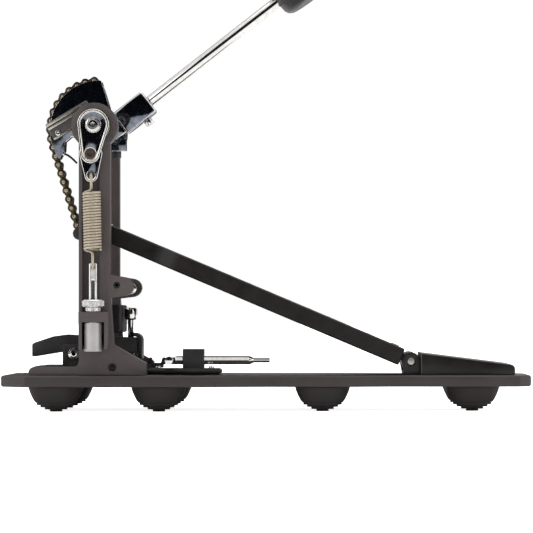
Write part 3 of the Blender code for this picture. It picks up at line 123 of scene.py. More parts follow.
@dataclass(frozen=True)
class Finish:
    """One surface finish: its two tones, gloss and grain.

    Attributes:
        name: The material's name.
        slot: The record's material slot.
        tone: Main colour, linear.
        patch: Colour that the main one drifts to.
        metallic: Metallic share.
        roughness: Lowest roughness.
        spread: Added to the roughness in the rougher patches.
        grain: Kind of fine surface.
        grain_size: Size of the grain in metres.
        bump: Depth of the grain in metres.
        specular: Specular level of the shader.
        sheen: Sheen weight.
        patch_size: Size of the patches in metres.
    """

    name: str
    slot: str
    tone: Point
    patch: Point
    metallic: float
    roughness: float
    spread: float
    grain: Grain
    grain_size: float
    bump: float
    specular: float = 0.5
    sheen: float = 0.0
    patch_size: float = 12.0 * MM

    def material(self) -> Material:
        """Return this finish's material, made on first use.

        Returns:
            A node material that reads Object coordinates.
        """
        found = bpy.data.materials.get(self.name)
        return found if found else self._build()

    def _build(self) -> Material:
        """Make the node tree.

        Returns:
            The new material.
        """
        material = bpy.data.materials.new(self.name)
        material.use_nodes = True
        tree = material.node_tree
        shader = tree.nodes["Principled BSDF"]
        shader.inputs["Metallic"].default_value = self.metallic
        shader.inputs["Specular IOR Level"].default_value = self.specular
        shader.inputs["Sheen Weight"].default_value = self.sheen
        place = tree.nodes.new("ShaderNodeTexCoord").outputs["Object"]
        patches = self._noise(tree, place, self.patch_size, 4.0)
        fine = self._noise(tree, self._stretched(tree, place), self.grain_size, 3.0)
        tree.links.new(self._tone(tree, patches, fine), shader.inputs["Base Color"])
        tree.links.new(self._gloss(tree, patches), shader.inputs["Roughness"])
        bump = tree.nodes.new("ShaderNodeBump")
        bump.inputs["Strength"].default_value = 1.0
        bump.inputs["Distance"].default_value = self.bump
        tree.links.new(fine, bump.inputs["Height"])
        tree.links.new(bump.outputs["Normal"], shader.inputs["Normal"])
        return material

    def _stretched(self, tree: bpy.types.NodeTree, place: bpy.types.NodeSocket) -> bpy.types.NodeSocket:
        """Return the coordinates that the grain runs on.

        Args:
            tree: The material's tree.
            place: Object coordinates.

        Returns:
            The same coordinates, stretched for a grain with a direction.
        """
        if self.grain not in GRAIN_STRETCH:
            return place
        mapping = tree.nodes.new("ShaderNodeMapping")
        mapping.inputs["Scale"].default_value = GRAIN_STRETCH[self.grain]
        tree.links.new(place, mapping.inputs["Vector"])
        return mapping.outputs["Vector"]

    def _noise(self, tree: bpy.types.NodeTree, place: bpy.types.NodeSocket, size: float,
               detail: float) -> bpy.types.NodeSocket:
        """Return a noise value.

        Args:
            tree: The material's tree.
            place: Coordinates.
            size: Size of the noise's largest shapes, in metres.
            detail: Levels of detail.

        Returns:
            The noise's value socket.
        """
        noise = tree.nodes.new("ShaderNodeTexNoise")
        noise.inputs["Scale"].default_value = 1.0 / size
        noise.inputs["Detail"].default_value = detail
        tree.links.new(place, noise.inputs["Vector"])
        return noise.outputs["Fac"]

    def _tone(self, tree: bpy.types.NodeTree, patches: bpy.types.NodeSocket,
              fine: bpy.types.NodeSocket) -> bpy.types.NodeSocket:
        """Return the colour: broad patches, then a little of the grain.

        Args:
            tree: The material's tree.
            patches: Broad noise.
            fine: Grain noise.

        Returns:
            The colour socket.
        """
        ramp = tree.nodes.new("ShaderNodeValToRGB")
        ramp.color_ramp.elements[0].position = 0.35
        ramp.color_ramp.elements[0].color = (*self.tone, 1.0)
        ramp.color_ramp.elements[1].position = 0.68
        ramp.color_ramp.elements[1].color = (*self.patch, 1.0)
        tree.links.new(patches, ramp.inputs["Fac"])
        speck = tree.nodes.new("ShaderNodeValToRGB")
        speck.color_ramp.elements[0].position = 0.3
        speck.color_ramp.elements[0].color = (0.82, 0.82, 0.82, 1.0)
        speck.color_ramp.elements[1].position = 0.7
        speck.color_ramp.elements[1].color = (1.0, 1.0, 1.0, 1.0)
        tree.links.new(fine, speck.inputs["Fac"])
        mix = tree.nodes.new("ShaderNodeMix")
        mix.data_type = "RGBA"
        mix.blend_type = "MULTIPLY"
        mix.inputs["Factor"].default_value = 1.0
        tree.links.new(ramp.outputs["Color"], mix.inputs["A"])
        tree.links.new(speck.outputs["Color"], mix.inputs["B"])
        return mix.outputs["Result"]

    def _gloss(self, tree: bpy.types.NodeTree, patches: bpy.types.NodeSocket) -> bpy.types.NodeSocket:
        """Return the roughness, which drifts with the patches.

        Args:
            tree: The material's tree.
            patches: Broad noise.

        Returns:
            The roughness socket.
        """
        gloss = tree.nodes.new("ShaderNodeMapRange")
        gloss.inputs["From Min"].default_value = 0.3
        gloss.inputs["From Max"].default_value = 0.7
        gloss.inputs["To Min"].default_value = self.roughness
        gloss.inputs["To Max"].default_value = self.roughness + self.spread
        tree.links.new(patches, gloss.inputs["Value"])
        return gloss.outputs["Result"]


FRAME = Finish("coat_warm_grey", "frame_metal", (0.068, 0.054, 0.0515), (0.077, 0.062, 0.0595), 0.0,
               0.46, 0.12, Grain.POWDER, 0.45 * MM, 0.020 * MM, 0.45)
PLATE = Finish("coat_plate_grey", "frame_metal", (0.032, 0.0238, 0.0228), (0.038, 0.0293, 0.028), 0.0,
               0.48, 0.12, Grain.POWDER, 0.5 * MM, 0.025 * MM, 0.45)
BOARD = Finish("satin_black_board", "board_metal", (0.0072, 0.0048, 0.0043), (0.0115, 0.0082, 0.0075), 0.05,
               0.30, 0.10, Grain.SATIN, 0.3 * MM, 0.006 * MM, 0.35)
# Lighter copy of the board finish: a painted highlight on the board's rounded edges, also used as the grip
# bars' and grip lines' lighter tone.
BOARD_EDGE_PAINTED_HIGHLIGHT_AND_GRIP = Finish("board_edge_painted_highlight_and_grip", "board_metal", (0.050, 0.047, 0.046), (0.075, 0.071, 0.069), 0.3,
                    0.34, 0.12, Grain.SATIN, 0.3 * MM, 0.006 * MM, 0.5)
BLACK = Finish("matte_black_metal", "clamp_metal", (0.0105, 0.0095, 0.0095), (0.017, 0.0155, 0.0155), 0.1,
               0.42, 0.14, Grain.POWDER, 0.35 * MM, 0.014 * MM, 0.5)
# Black metal darkened to about half, with a matte gloss: painted shade for the cross block between the posts.
BLACK_MATTE_PAINTED_SHADE = Finish("matte_black_painted_shade", "clamp_metal", (0.0050, 0.0046, 0.0046), (0.0085, 0.0078, 0.0078), 0.0,
              0.62, 0.14, Grain.POWDER, 0.35 * MM, 0.014 * MM, 0.2)
SLIDE = Finish("grey_slide_metal", "clamp_metal", (0.060, 0.055, 0.054), (0.085, 0.078, 0.076), 0.3,
               0.40, 0.12, Grain.POWDER, 0.35 * MM, 0.012 * MM, 0.5)
SLIDE_BAR = Finish("polished_slide_bar", "clamp_metal", (0.52, 0.47, 0.40), (0.64, 0.59, 0.51), 1.0,
                   0.22, 0.12, Grain.BRUSHED, 0.4 * MM, 0.004 * MM)
# Chrome plating toned dark: the faces carry a painted dark reflection of the surroundings in their colour.
PLATE_PAINTED_DARK_REFLECTION = Finish("plate_painted_dark_reflection", "plated", (0.135, 0.155, 0.19), (0.22, 0.235, 0.265), 1.0,
                0.055, 0.07, Grain.MIRROR, 2.5 * MM, 0.010 * MM, patch_size=5.0 * MM)
# Painted highlight: a bright copy of the same plating, laid on the rounded edges of plated parts.
PLATE_EDGE_PAINTED_HIGHLIGHT = Finish("plate_edge_painted_highlight", "plated", (0.90, 0.86, 0.78), (0.97, 0.95, 0.90), 1.0,
                     0.20, 0.10, Grain.MIRROR, 1.5 * MM, 0.004 * MM, patch_size=6.0 * MM)
CHROME = Finish("mirror_chrome", "chrome", (0.74, 0.72, 0.69), (0.84, 0.83, 0.81), 1.0,
                0.05, 0.06, Grain.MIRROR, 2.5 * MM, 0.004 * MM, patch_size=8.0 * MM)
ZINC = Finish("bright_zinc", "zinc", (0.82, 0.805, 0.78), (0.94, 0.93, 0.91), 0.85,
              0.26, 0.16, Grain.SATIN, 0.6 * MM, 0.006 * MM, patch_size=4.0 * MM)
BEIGE_ZINC = Finish("warm_zinc", "zinc", (0.46, 0.43, 0.38), (0.60, 0.57, 0.51), 1.0,
                    0.30, 0.15, Grain.SATIN, 0.6 * MM, 0.006 * MM, patch_size=4.0 * MM)
SATIN_ALLOY = Finish("satin_turned_alloy", "aluminium", (0.42, 0.405, 0.385), (0.48, 0.465, 0.445), 0.35,
                     0.36, 0.08, Grain.TURNED, 0.25 * MM, 0.010 * MM)
SPRING_WIRE = Finish("drawn_spring_wire", "spring_steel", (0.43, 0.37, 0.275), (0.48, 0.42, 0.325), 0.45,
                     0.30, 0.06, Grain.SATIN, 1.2 * MM, 0.0008 * MM, patch_size=9.0 * MM)
CHAIN_DARK = Finish("oiled_chain_plate", "chain_steel", (0.030, 0.025, 0.018), (0.17, 0.135, 0.085), 1.0,
                    0.28, 0.20, Grain.OILED, 0.7 * MM, 0.020 * MM, patch_size=2.2 * MM)
CHAIN_BRIGHT = Finish("worn_chain_pin", "chain_steel", (0.50, 0.42, 0.30), (0.68, 0.60, 0.46), 1.0,
                      0.24, 0.16, Grain.OILED, 0.7 * MM, 0.012 * MM, patch_size=1.6 * MM)
BUSH = Finish("brown_bearing_bush", "zinc", (0.060, 0.042, 0.034), (0.095, 0.070, 0.058), 0.6,
              0.34, 0.12, Grain.SATIN, 0.4 * MM, 0.006 * MM, 0.5)
RUBBER = Finish("black_rubber", "rubber", (0.0125, 0.0092, 0.0085), (0.0180, 0.0138, 0.0130), 0.0,
                0.58, 0.18, Grain.RUBBER, 0.35 * MM, 0.018 * MM, 0.4)
PLASTIC = Finish("black_moulding", "plastic", (0.012, 0.011, 0.0115), (0.017, 0.016, 0.0165), 0.0,
                 0.40, 0.12, Grain.SATIN, 0.3 * MM, 0.008 * MM, 0.5)
FELT = Finish("pressed_felt", "felt", (0.60, 0.57, 0.50), (0.70, 0.68, 0.62), 0.0,
              0.92, 0.06, Grain.FELT, 0.9 * MM, 0.30 * MM, 0.15, sheen=0.5, patch_size=4.0 * MM)


# --------------------------------------------------------------------- bench


class Bench:
    """The hand tools: each one makes or shapes a single mesh piece."""

    @staticmethod
    def hold(*pieces: Object) -> None:
        """Select only these pieces and make the first one active."""
        Bench.clear()
        for piece in pieces:
            piece.select_set(True)
        bpy.context.view_layer.objects.active = pieces[0]

    @staticmethod
    def clear() -> None:
        """Deselect everything before a primitive is added."""
        bpy.context.view_layer.update()
        for other in bpy.context.selected_objects:
            other.select_set(False)
        bpy.context.view_layer.objects.active = None

    @staticmethod
    def settle(piece: Object, place: Matrix | None = None) -> Object:
        """Put a piece in place and bring its object back to the origin.

        Args:
            piece: The piece.
            place: Where it goes, from where it was made.

        Returns:
            The piece.
        """
        if place is not None:
            piece.matrix_world = place @ piece.matrix_world
        Bench.hold(piece)
        bpy.ops.object.transform_apply(location=True, rotation=True, scale=True)
        return piece

    @staticmethod
    def aim(start: Vector, direction: Vector) -> Matrix:
        """Return the place that takes +Z to a direction and the origin to a point.

        Args:
            start: The point.
            direction: The direction.

        Returns:
            The place as a matrix.
        """
        turn = direction.normalized().to_track_quat("Z", "Y").to_matrix().to_4x4()
        return Matrix.Translation(start) @ turn

    @staticmethod
    def turned(name: str, profile: Sequence[Pair], place: Matrix, steps: int = 48) -> Object:
        """Turn a profile about Z by extruding and scaling one ring.

        Args:
            name: The piece's name.
            profile: Radius and height of each ring, none of radius zero.
            place: Where the piece goes.
            steps: Sides of the ring.

        Returns:
            The closed piece.
        """
        radius, height = profile[0]
        Bench.clear()
        bpy.ops.mesh.primitive_circle_add(vertices=steps, radius=radius, fill_type="NGON",
                                          location=(0.0, 0.0, height))
        piece = bpy.context.active_object
        piece.name = piece.data.name = name
        bpy.ops.object.mode_set(mode="EDIT")
        bpy.ops.mesh.select_all(action="SELECT")
        for new_radius, new_height in profile[1:]:
            bpy.ops.mesh.extrude_region_move(
                TRANSFORM_OT_translate={"value": (0.0, 0.0, new_height - height)})
            if abs(new_radius - radius) > 1e-9:
                share = new_radius / radius
                bpy.ops.transform.resize(value=(share, share, 1.0),
                                         center_override=(0.0, 0.0, new_height))
            radius, height = new_radius, new_height
        bpy.ops.mesh.select_all(action="SELECT")
        bpy.ops.mesh.remove_doubles(threshold=1e-7)
        bpy.ops.mesh.normals_make_consistent(inside=False)
        bpy.ops.object.mode_set(mode="OBJECT")
        return Bench.settle(piece, place)

    @staticmethod
    def pick(piece: Object, test: Callable[[Vector], bool]) -> None:
        """Select the vertices that a test accepts, and leave the piece in edit mode.

        Args:
            piece: The piece.
            test: Takes a vertex's place.
        """
        Bench.hold(piece)
        bpy.ops.object.mode_set(mode="EDIT")
        bpy.ops.mesh.select_mode(type="VERT")
        bpy.ops.mesh.select_all(action="DESELECT")
        bpy.ops.object.mode_set(mode="OBJECT")
        for vertex in piece.data.vertices:
            vertex.select = test(vertex.co)
        bpy.ops.object.mode_set(mode="EDIT")

    @staticmethod
    def plate(name: str, length: float, first: float, last: float, waist: float,
              thickness: float, place: Matrix, steps: int = 40) -> Object:
        """Make a link-shaped plate in X and Y that stands on Z = 0.

        A disc is split across its middle, and one half is moved along X.

        Args:
            name: The piece's name.
            length: Distance between the two round ends' centres.
            first: Radius of the end at the origin.
            last: Radius of the other end.
            waist: Half-width midway, or zero for straight sides.
            thickness: Thickness.
            place: Where the piece goes.
            steps: Sides of the disc.

        Returns:
            The closed piece.
        """
        Bench.clear()
        bpy.ops.mesh.primitive_circle_add(vertices=steps, radius=1.0, fill_type="NGON")
        piece = bpy.context.active_object
        piece.name = piece.data.name = name
        edge = 1e-4
        Bench.pick(piece, lambda co: co.x < edge)
        bpy.ops.transform.resize(value=(first, first, 1.0), center_override=(0.0, 0.0, 0.0))
        Bench.pick(piece, lambda co: co.length > 0.5)
        bpy.ops.transform.resize(value=(last, last, 1.0), center_override=(0.0, 0.0, 0.0))
        bpy.ops.transform.translate(value=(length, 0.0, 0.0))
        if waist > 0.0:
            bpy.ops.mesh.select_all(action="DESELECT")
            bpy.ops.mesh.select_mode(type="EDGE")
            bpy.ops.object.mode_set(mode="OBJECT")
            for link in piece.data.edges:
                ends = [piece.data.vertices[index].co for index in link.vertices]
                link.select = abs(ends[0].x - ends[1].x) > 0.6 * length
            bpy.ops.object.mode_set(mode="EDIT")
            bpy.ops.mesh.subdivide(number_cuts=3)
            for share, part in ((0.25, 0.45), (0.5, 1.0), (0.75, 0.45)):
                plain = first + (last - first) * share
                Bench.pick(piece, lambda co, share=share: abs(co.x - length * share) < 0.08 * length)
                value = 1.0 + (waist / plain - 1.0) * part
                bpy.ops.transform.resize(value=(1.0, value, 1.0), center_override=(0.0, 0.0, 0.0))
        bpy.ops.mesh.select_mode(type="VERT")
        bpy.ops.mesh.select_all(action="SELECT")
        bpy.ops.mesh.extrude_region_move(TRANSFORM_OT_translate={"value": (0.0, 0.0, thickness)})
        bpy.ops.mesh.select_all(action="SELECT")
        bpy.ops.mesh.normals_make_consistent(inside=False)
        bpy.ops.object.mode_set(mode="OBJECT")
        return Bench.settle(piece, place)

    @staticmethod
    def drum(name: str, radius: float, start: Vector, end: Vector, edge: float,
             steps: int = 40) -> Object:
        """Make a round bar between two points, with its two rims rounded.

        Args:
            name: The piece's name.
            radius: Radius.
            start: Centre of one end.
            end: Centre of the other end.
            edge: Radius of the rims.
            steps: Sides.

        Returns:
            The closed piece.
        """
        length = (end - start).length
        half = edge * 0.3
        profile = [(radius - edge, 0.0), (radius - half, half), (radius, edge),
                   (radius, length - edge), (radius - half, length - half),
                   (radius - edge, length)]
        return Bench.turned(name, profile, Bench.aim(start, end - start), steps)

    @staticmethod
    def block(name: str, low: Sequence[float], high: Sequence[float], edge: float,
              rounds: int = 2, place: Matrix | None = None) -> Object:
        """Make a block with rounded edges.

        Args:
            name: The piece's name.
            low: Lowest corner.
            high: Highest corner.
            edge: Width of the rounding.
            rounds: Segments of the rounding.
            place: Where the block goes, from where it was made.

        Returns:
            The closed piece.
        """
        size = [top - bottom for bottom, top in zip(low, high)]
        middle = [(top + bottom) / 2 for bottom, top in zip(low, high)]
        Bench.clear()
        bpy.ops.mesh.primitive_cube_add(size=1.0, location=middle, scale=size)
        piece = bpy.context.active_object
        piece.name = piece.data.name = name
        Bench.settle(piece, place)
        bpy.ops.object.mode_set(mode="EDIT")
        bpy.ops.mesh.select_all(action="SELECT")
        bpy.ops.mesh.bevel(offset=edge, segments=rounds, affect="EDGES")
        bpy.ops.object.mode_set(mode="OBJECT")
        return piece

    @staticmethod
    def wire(name: str, points: Sequence[Sequence[float]], radius: float, rounds: int = 4,
             smooth: bool = True) -> Object:
        """Make a round wire along points, with its ends closed.

        Args:
            name: The piece's name.
            points: Points of the wire's middle line.
            radius: Radius of the wire.
            rounds: Bevel resolution.
            smooth: Whether the line is a smooth curve.

        Returns:
            The closed piece.
        """
        data = bpy.data.curves.new(name, "CURVE")
        data.dimensions = "3D"
        data.bevel_depth = radius
        data.bevel_resolution = rounds
        data.use_fill_caps = True
        data.resolution_u = 4
        spline = data.splines.new("NURBS" if smooth else "POLY")
        spline.points.add(len(points) - 1)
        for point, place in zip(spline.points, points):
            point.co = (*place, 1.0)
        if smooth:
            spline.order_u = 3
            spline.use_endpoint_u = True
        curve = bpy.data.objects.new(name, data)
        bpy.context.scene.collection.objects.link(curve)
        Bench.hold(curve)
        bpy.ops.object.convert(target="MESH")
        piece = bpy.context.active_object
        piece.name = piece.data.name = name
        Bench.hold(piece)
        bpy.ops.object.mode_set(mode="EDIT")
        bpy.ops.mesh.select_all(action="SELECT")
        bpy.ops.mesh.remove_doubles(threshold=1e-7)
        bpy.ops.mesh.normals_make_consistent(inside=False)
        bpy.ops.object.mode_set(mode="OBJECT")
        return piece

    @staticmethod
    def copy_of(node: str, name: str) -> Object:
        """Copy a frame node's mesh and merge its loose triangles into faces.

        Args:
            node: The node.
            name: The copy's name.

        Returns:
            The copy, with flat faces joined.
        """
        source = frame["nodes"][node]
        piece = bpy.data.objects.new(name, source.data.copy())
        piece.data.name = name
        bpy.context.scene.collection.objects.link(piece)
        Bench.hold(piece)
        if piece.data.has_custom_normals:
            bpy.ops.mesh.customdata_custom_splitnormals_clear()
        bpy.ops.object.mode_set(mode="EDIT")
        bpy.ops.mesh.select_all(action="SELECT")
        bpy.ops.mesh.remove_doubles(threshold=2e-5)
        bpy.ops.mesh.dissolve_limited(angle_limit=math.radians(1.5))
        bpy.ops.object.mode_set(mode="OBJECT")
        return piece

    @staticmethod
    def round_edges(piece: Object, width: float, segments: int = 2, angle: float = 40.0,
                    strip: int = -1) -> Object:
        """Round a piece's sharp edges with a bevel that is applied.

        Args:
            piece: The piece.
            width: Width of the rounding.
            segments: Segments of the rounding.
            angle: Edges sharper than this are rounded.
            strip: Material slot of the new strips, or -1 for their neighbours'.

        Returns:
            The piece.
        """
        bevel = piece.modifiers.new("edges", "BEVEL")
        bevel.width = width
        bevel.segments = segments
        bevel.limit_method = "ANGLE"
        bevel.angle_limit = math.radians(angle)
        bevel.use_clamp_overlap = True
        bevel.material = strip
        bevel.miter_outer = "MITER_ARC" if segments > 1 else "MITER_SHARP"
        Bench.hold(piece)
        bpy.ops.object.modifier_apply(modifier=bevel.name)
        return piece

    @staticmethod
    def pierce(piece: Object, *tools: Object) -> Object:
        """Cut tools out of a piece.

        Args:
            piece: The piece.
            tools: Closed solids, which are used up.

        Returns:
            The piece.
        """
        for tool in tools:
            cut = piece.modifiers.new("cut", "BOOLEAN")
            cut.operation = "DIFFERENCE"
            cut.object = tool
            cut.solver = "EXACT"
            Bench.hold(piece)
            bpy.ops.object.modifier_apply(modifier=cut.name)
            bpy.data.objects.remove(tool, do_unlink=True)
        return piece

    @staticmethod
    def bore_upright(piece: Object, centre: Vector, low: float, high: float) -> Object:
        """Cut the eye bolt's bore up through a piece.

        Args:
            piece: The piece.
            centre: The bore's middle, at the floor.
            low: The piece's lower face.
            high: The piece's upper face.

        Returns:
            The piece.
        """
        bore = Bench.drum("bore", BOLT_BORE, centre + Z * (low - MM), centre + Z * (high + MM),
                          SHARP, 32)
        return Bench.pierce(piece, bore)

    @staticmethod
    def join(name: str, pieces: Sequence[Object]) -> Object:
        """Join pieces into one object that keeps their materials.

        Args:
            name: The new piece's name.
            pieces: The pieces.

        Returns:
            The joined piece.
        """
        Bench.hold(*pieces)
        if len(pieces) > 1:
            bpy.ops.object.join()
        piece = pieces[0]
        piece.name = piece.data.name = name
        return piece

    @staticmethod
    def smooth(piece: Object, angle: float = 35.0) -> Object:
        """Shade a piece smooth except over its sharp edges."""
        Bench.hold(piece)
        bpy.ops.object.shade_smooth_by_angle(angle=math.radians(angle))
        return piece

    @staticmethod
    def dress(piece: Object, finish: Finish) -> Object:
        """Give a piece one finish all over."""
        piece.data.materials.clear()
        piece.data.materials.append(finish.material())
        return piece


@dataclass(frozen=True)
class Softened:
    """A frame node whose mesh is copied, with its edges rounded.

    Attributes:
        node: The frame node.
        finish: Finish of its faces.
        width: Width of the rounding in metres.
        edge: Finish of the rounded strips, if another.
        segments: Segments of the rounding.
        angle: Edges sharper than this, in degrees, are rounded.
    """

    node: str
    finish: Finish
    width: float
    edge: Finish | None = None
    segments: int = 2
    angle: float = 40.0

    def copy(self) -> Object:
        """Return the rounded and dressed copy, not yet riding on a body."""
        piece = Bench.copy_of(self.node, f"{self.node}_finished")
        Bench.dress(piece, self.finish)
        if self.edge is not None:
            piece.data.materials.append(self.edge.material())
        Bench.round_edges(piece, self.width, self.segments, self.angle,
                          -1 if self.edge is None else STRIP_SLOT)
        return Bench.smooth(piece)


class SubAssembly:
    """What every group of pieces shares."""

    def fit(self, piece: Object, body: str, slot: str, *nodes: str, angle: float = 35.0) -> Object:
        """Smooth a piece, set its body, and let it stand for nodes.

        Args:
            piece: The finished piece.
            body: The body it rides on.
            slot: The record's material slot; not used.
            nodes: Frame nodes that it stands for.
            angle: Edges sharper than this stay sharp.

        Returns:
            The piece.
        """
        Bench.smooth(piece, angle)
        if nodes:
            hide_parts(*nodes)
        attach(piece, body)
        LOG.info("%s on %s, %d faces", piece.name, body, len(piece.data.polygons))
        return piece

    def soften(self, parts: Sequence[Softened]) -> None:
        """Replace frame nodes by rounded copies of themselves.

        Args:
            parts: The nodes with their finishes.
        """
        for part in parts:
            body = frame["nodes"][part.node]["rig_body"]
            self.fit(part.copy(), body, part.finish.slot, part.node)


# -------------------------------------------------------------------- studio


@dataclass
class Studio:
    """The floor, the light and the camera.

    Attributes:
        distance: From the camera to the pedal's middle plane.
        lens: Focal length in millimetres on a 36 mm sensor.
        camera_x: Camera's place along the pedal.
        camera_z: Camera's height.
        floor_size: Side of the square floor.
        floor_glow: Light added to the floor as the camera sees it, for a pale shadow.
    """

    distance: float = 2.1265
    lens: float = 203.3
    camera_x: float = 0.0424
    camera_z: float = 0.0667
    floor_size: float = 40.0
    floor_glow: float = 0.85

    def build(self) -> None:
        """Build the whole studio."""
        self.build_floor()
        self.build_sky()
        self.build_lights()
        self.build_cards()
        self.build_camera()

    def build_floor(self) -> None:
        """Build the pale floor."""
        Bench.clear()
        bpy.ops.mesh.primitive_plane_add(size=self.floor_size, location=(0.0, 0.0, 0.0))
        floor = bpy.context.active_object
        floor.name = "studio_floor"
        material = bpy.data.materials.new("pale_floor")
        material.use_nodes = True
        shader = material.node_tree.nodes["Principled BSDF"]
        shader.inputs["Base Color"].default_value = (0.97, 0.97, 0.97, 1.0)
        shader.inputs["Emission Color"].default_value = (1.0, 1.0, 1.0, 1.0)
        seen = material.node_tree.nodes.new("ShaderNodeLightPath")
        glow = material.node_tree.nodes.new("ShaderNodeMath")
        glow.operation = "MULTIPLY"
        glow.inputs[1].default_value = self.floor_glow
        material.node_tree.links.new(seen.outputs["Is Camera Ray"], glow.inputs[0])
        material.node_tree.links.new(glow.outputs["Value"], shader.inputs["Emission Strength"])
        shader.inputs["Roughness"].default_value = 0.9
        shader.inputs["Specular IOR Level"].default_value = 0.1
        floor.data.materials.append(material)

    def build_sky(self) -> None:
        """Set the plain white surround."""
        world = bpy.data.worlds.new("studio_white")
        bpy.context.scene.world = world
        world.use_nodes = True
        background = world.node_tree.nodes["Background"]
        background.inputs["Color"].default_value = (1.0, 1.0, 1.0, 1.0)
        background.inputs["Strength"].default_value = 1.0
        bpy.context.scene.view_settings.view_transform = "Standard"

    def build_lights(self) -> None:
        """Place four large soft boxes."""
        boxes = (
            ("top_box", (0.1, -0.1, 1.7), (0.0, 0.0, 0.1), 1.6, 9.0),
            ("left_box", (-1.6, -1.2, 0.9), (0.0, 0.0, 0.1), 1.0, 7.0),
            ("right_box", (1.9, -0.8, 0.8), (0.0, 0.0, 0.1), 0.9, 5.0),
            ("rear_box", (0.4, 1.8, 1.0), (0.0, 0.0, 0.1), 1.2, 6.0),
        )
        for name, place, target, size, power in boxes:
            data = bpy.data.lights.new(name, "AREA")
            data.shape = "SQUARE"
            data.size = size
            data.energy = power
            light = bpy.data.objects.new(name, data)
            bpy.context.scene.collection.objects.link(light)
            turn = (Vector(target) - Vector(place)).to_track_quat("-Z", "Y")
            light.matrix_world = Matrix.Translation(place) @ turn.to_matrix().to_4x4()

    def build_cards(self) -> None:
        """Hang dark cards that only show as reflections in polished metal."""
        material = bpy.data.materials.new("dark_card")
        material.use_nodes = True
        shader = material.node_tree.nodes["Principled BSDF"]
        shader.inputs["Base Color"].default_value = (0.012, 0.013, 0.017, 1.0)
        shader.inputs["Roughness"].default_value = 1.0
        shader.inputs["Specular IOR Level"].default_value = 0.0
        for name, y in (("near_card", -2.6), ("far_card", 2.6)):
            Bench.clear()
            bpy.ops.mesh.primitive_plane_add(size=3.4, location=(0.0, y, 0.7),
                                             rotation=(math.radians(90), 0.0, 0.0))
            card = bpy.context.active_object
            card.name = name
            card.data.materials.append(material)
            for ray in ("camera", "diffuse", "shadow", "transmission", "volume_scatter"):
                setattr(card, f"visible_{ray}", False)

    def build_camera(self) -> None:
        """Place the level camera, square to the pedal's side."""
        data = bpy.data.cameras.new("side_camera")
        data.lens = self.lens
        data.sensor_width = 36.0
        data.shift_x = -0.1154
        data.shift_y = 0.0910
        data.clip_start = 0.1
        data.clip_end = 60.0
        camera = bpy.data.objects.new("side_camera", data)
        bpy.context.scene.collection.objects.link(camera)
        camera.location = (self.camera_x, MID_Y - self.distance, self.camera_z)
        camera.rotation_euler = (math.radians(90.0), 0.0, 0.0)
        bpy.context.scene.camera = camera


# ---------------------------------------------------------------------- base


@dataclass
class Base(SubAssembly):
    """The base plate and its eight stepped rubber feet.

    Attributes:
        profile: Radius and height up a foot's side, from its last step.
        treads: Radius of each step, from the lowest.
        tread_rise: Height of one step.
        stretch: How far the finished plate runs past the frame's, as a share.
    """

    profile: tuple[Pair, ...] = ((14.3 * MM, 6.2 * MM), (15.6 * MM, 8.0 * MM),
                                 (16.5 * MM, 9.7 * MM), (17.3 * MM, 11.4 * MM),
                                 (18.1 * MM, 13.2 * MM), (18.7 * MM, 15.0 * MM),
                                 (19.1 * MM, 16.7 * MM))
    treads: tuple[float, ...] = (4.3 * MM, 7.8 * MM, 10.9 * MM, 13.4 * MM)
    tread_rise: float = 1.5 * MM
    stretch: float = 1.0116

    def build(self) -> None:
        """Build the plate and the feet."""
        plate = Softened("base_plate", PLATE, 0.5 * MM, segments=2, angle=28.0).copy()
        plate.scale.x = self.stretch
        self.fit(Bench.settle(plate), "frame", "frame_metal", "base_plate")
        for number in range(1, 9):
            self.build_foot(number)

    def build_foot(self, number: int) -> None:
        """Turn one foot with its stepped tread.

        Args:
            number: The foot's number.
        """
        node = f"rubber_foot_{number}"
        low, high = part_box(node)
        centre = Vector(((low.x + high.x) / 2, (low.y + high.y) / 2, 0.0))
        rings: list[Pair] = []
        level, lip = 0.0, 0.12 * MM
        for radius in self.treads:
            rings += [(radius - lip, level), (radius, level + lip),
                      (radius, level + self.tread_rise - 0.1 * MM)]
            level += self.tread_rise
            rings.append((radius + 0.2 * MM, level))
        rings += self.profile
        rings[0] = (self.treads[0] - lip, 0.0)
        foot = Bench.turned(f"{node}_stepped", rings, Matrix.Translation(centre), 56)
        Bench.dress(foot, RUBBER)
        self.fit(foot, "frame", "rubber", node)


# --------------------------------------------------------------------- posts


@dataclass
class Posts(SubAssembly):
    """The two posts, the block between them and what is pressed into them.

    Attributes:
        screw_radius: Radius of the screw in each arm.
    """

    screw_radius: float = 2.2 * MM

    def build(self) -> None:
        """Build the posts and their small parts."""
        self.soften([
            Softened("near_post", FRAME, 0.45 * MM),
            Softened("far_post", FRAME, 0.45 * MM),
            # Cross block between the posts: black darkened as painted shade.
            Softened("cross_block", BLACK_MATTE_PAINTED_SHADE, 0.3 * MM),
            Softened("near_arm_stud", CHROME, 0.7 * MM),
            Softened("far_arm_stud", CHROME, 0.7 * MM),
            Softened("near_bearing", SATIN_ALLOY, 0.5 * MM),
            Softened("far_bearing", SATIN_ALLOY, 0.5 * MM),
        ])
        self.build_arm_screws()

    def build_arm_screws(self) -> None:
        """Sink a socket screw in each arm."""
        place = Vector((AXLE.x + 15.2 * MM, 0.0, PLATE_TOP + 62.3 * MM))
        for name, side in (("near", -1.0), ("far", 1.0)):
            outer = MID_Y + side * 50.8 * MM
            inner = MID_Y + side * 49.6 * MM
            screw = Bench.drum(f"{name}_arm_screw", self.screw_radius,
                               place + Y * inner, place + Y * outer, 0.3 * MM, 24)
            well = Bench.drum("well", 1.2 * MM, place + Y * (outer - side * 0.8 * MM),
                              place + Y * (outer + side * MM), SHARP, 6)
            Bench.pierce(screw, well)
            Bench.dress(screw, BLACK)
            self.fit(screw, "frame", "clamp_metal")


# ----------------------------------------------------------------- the drive


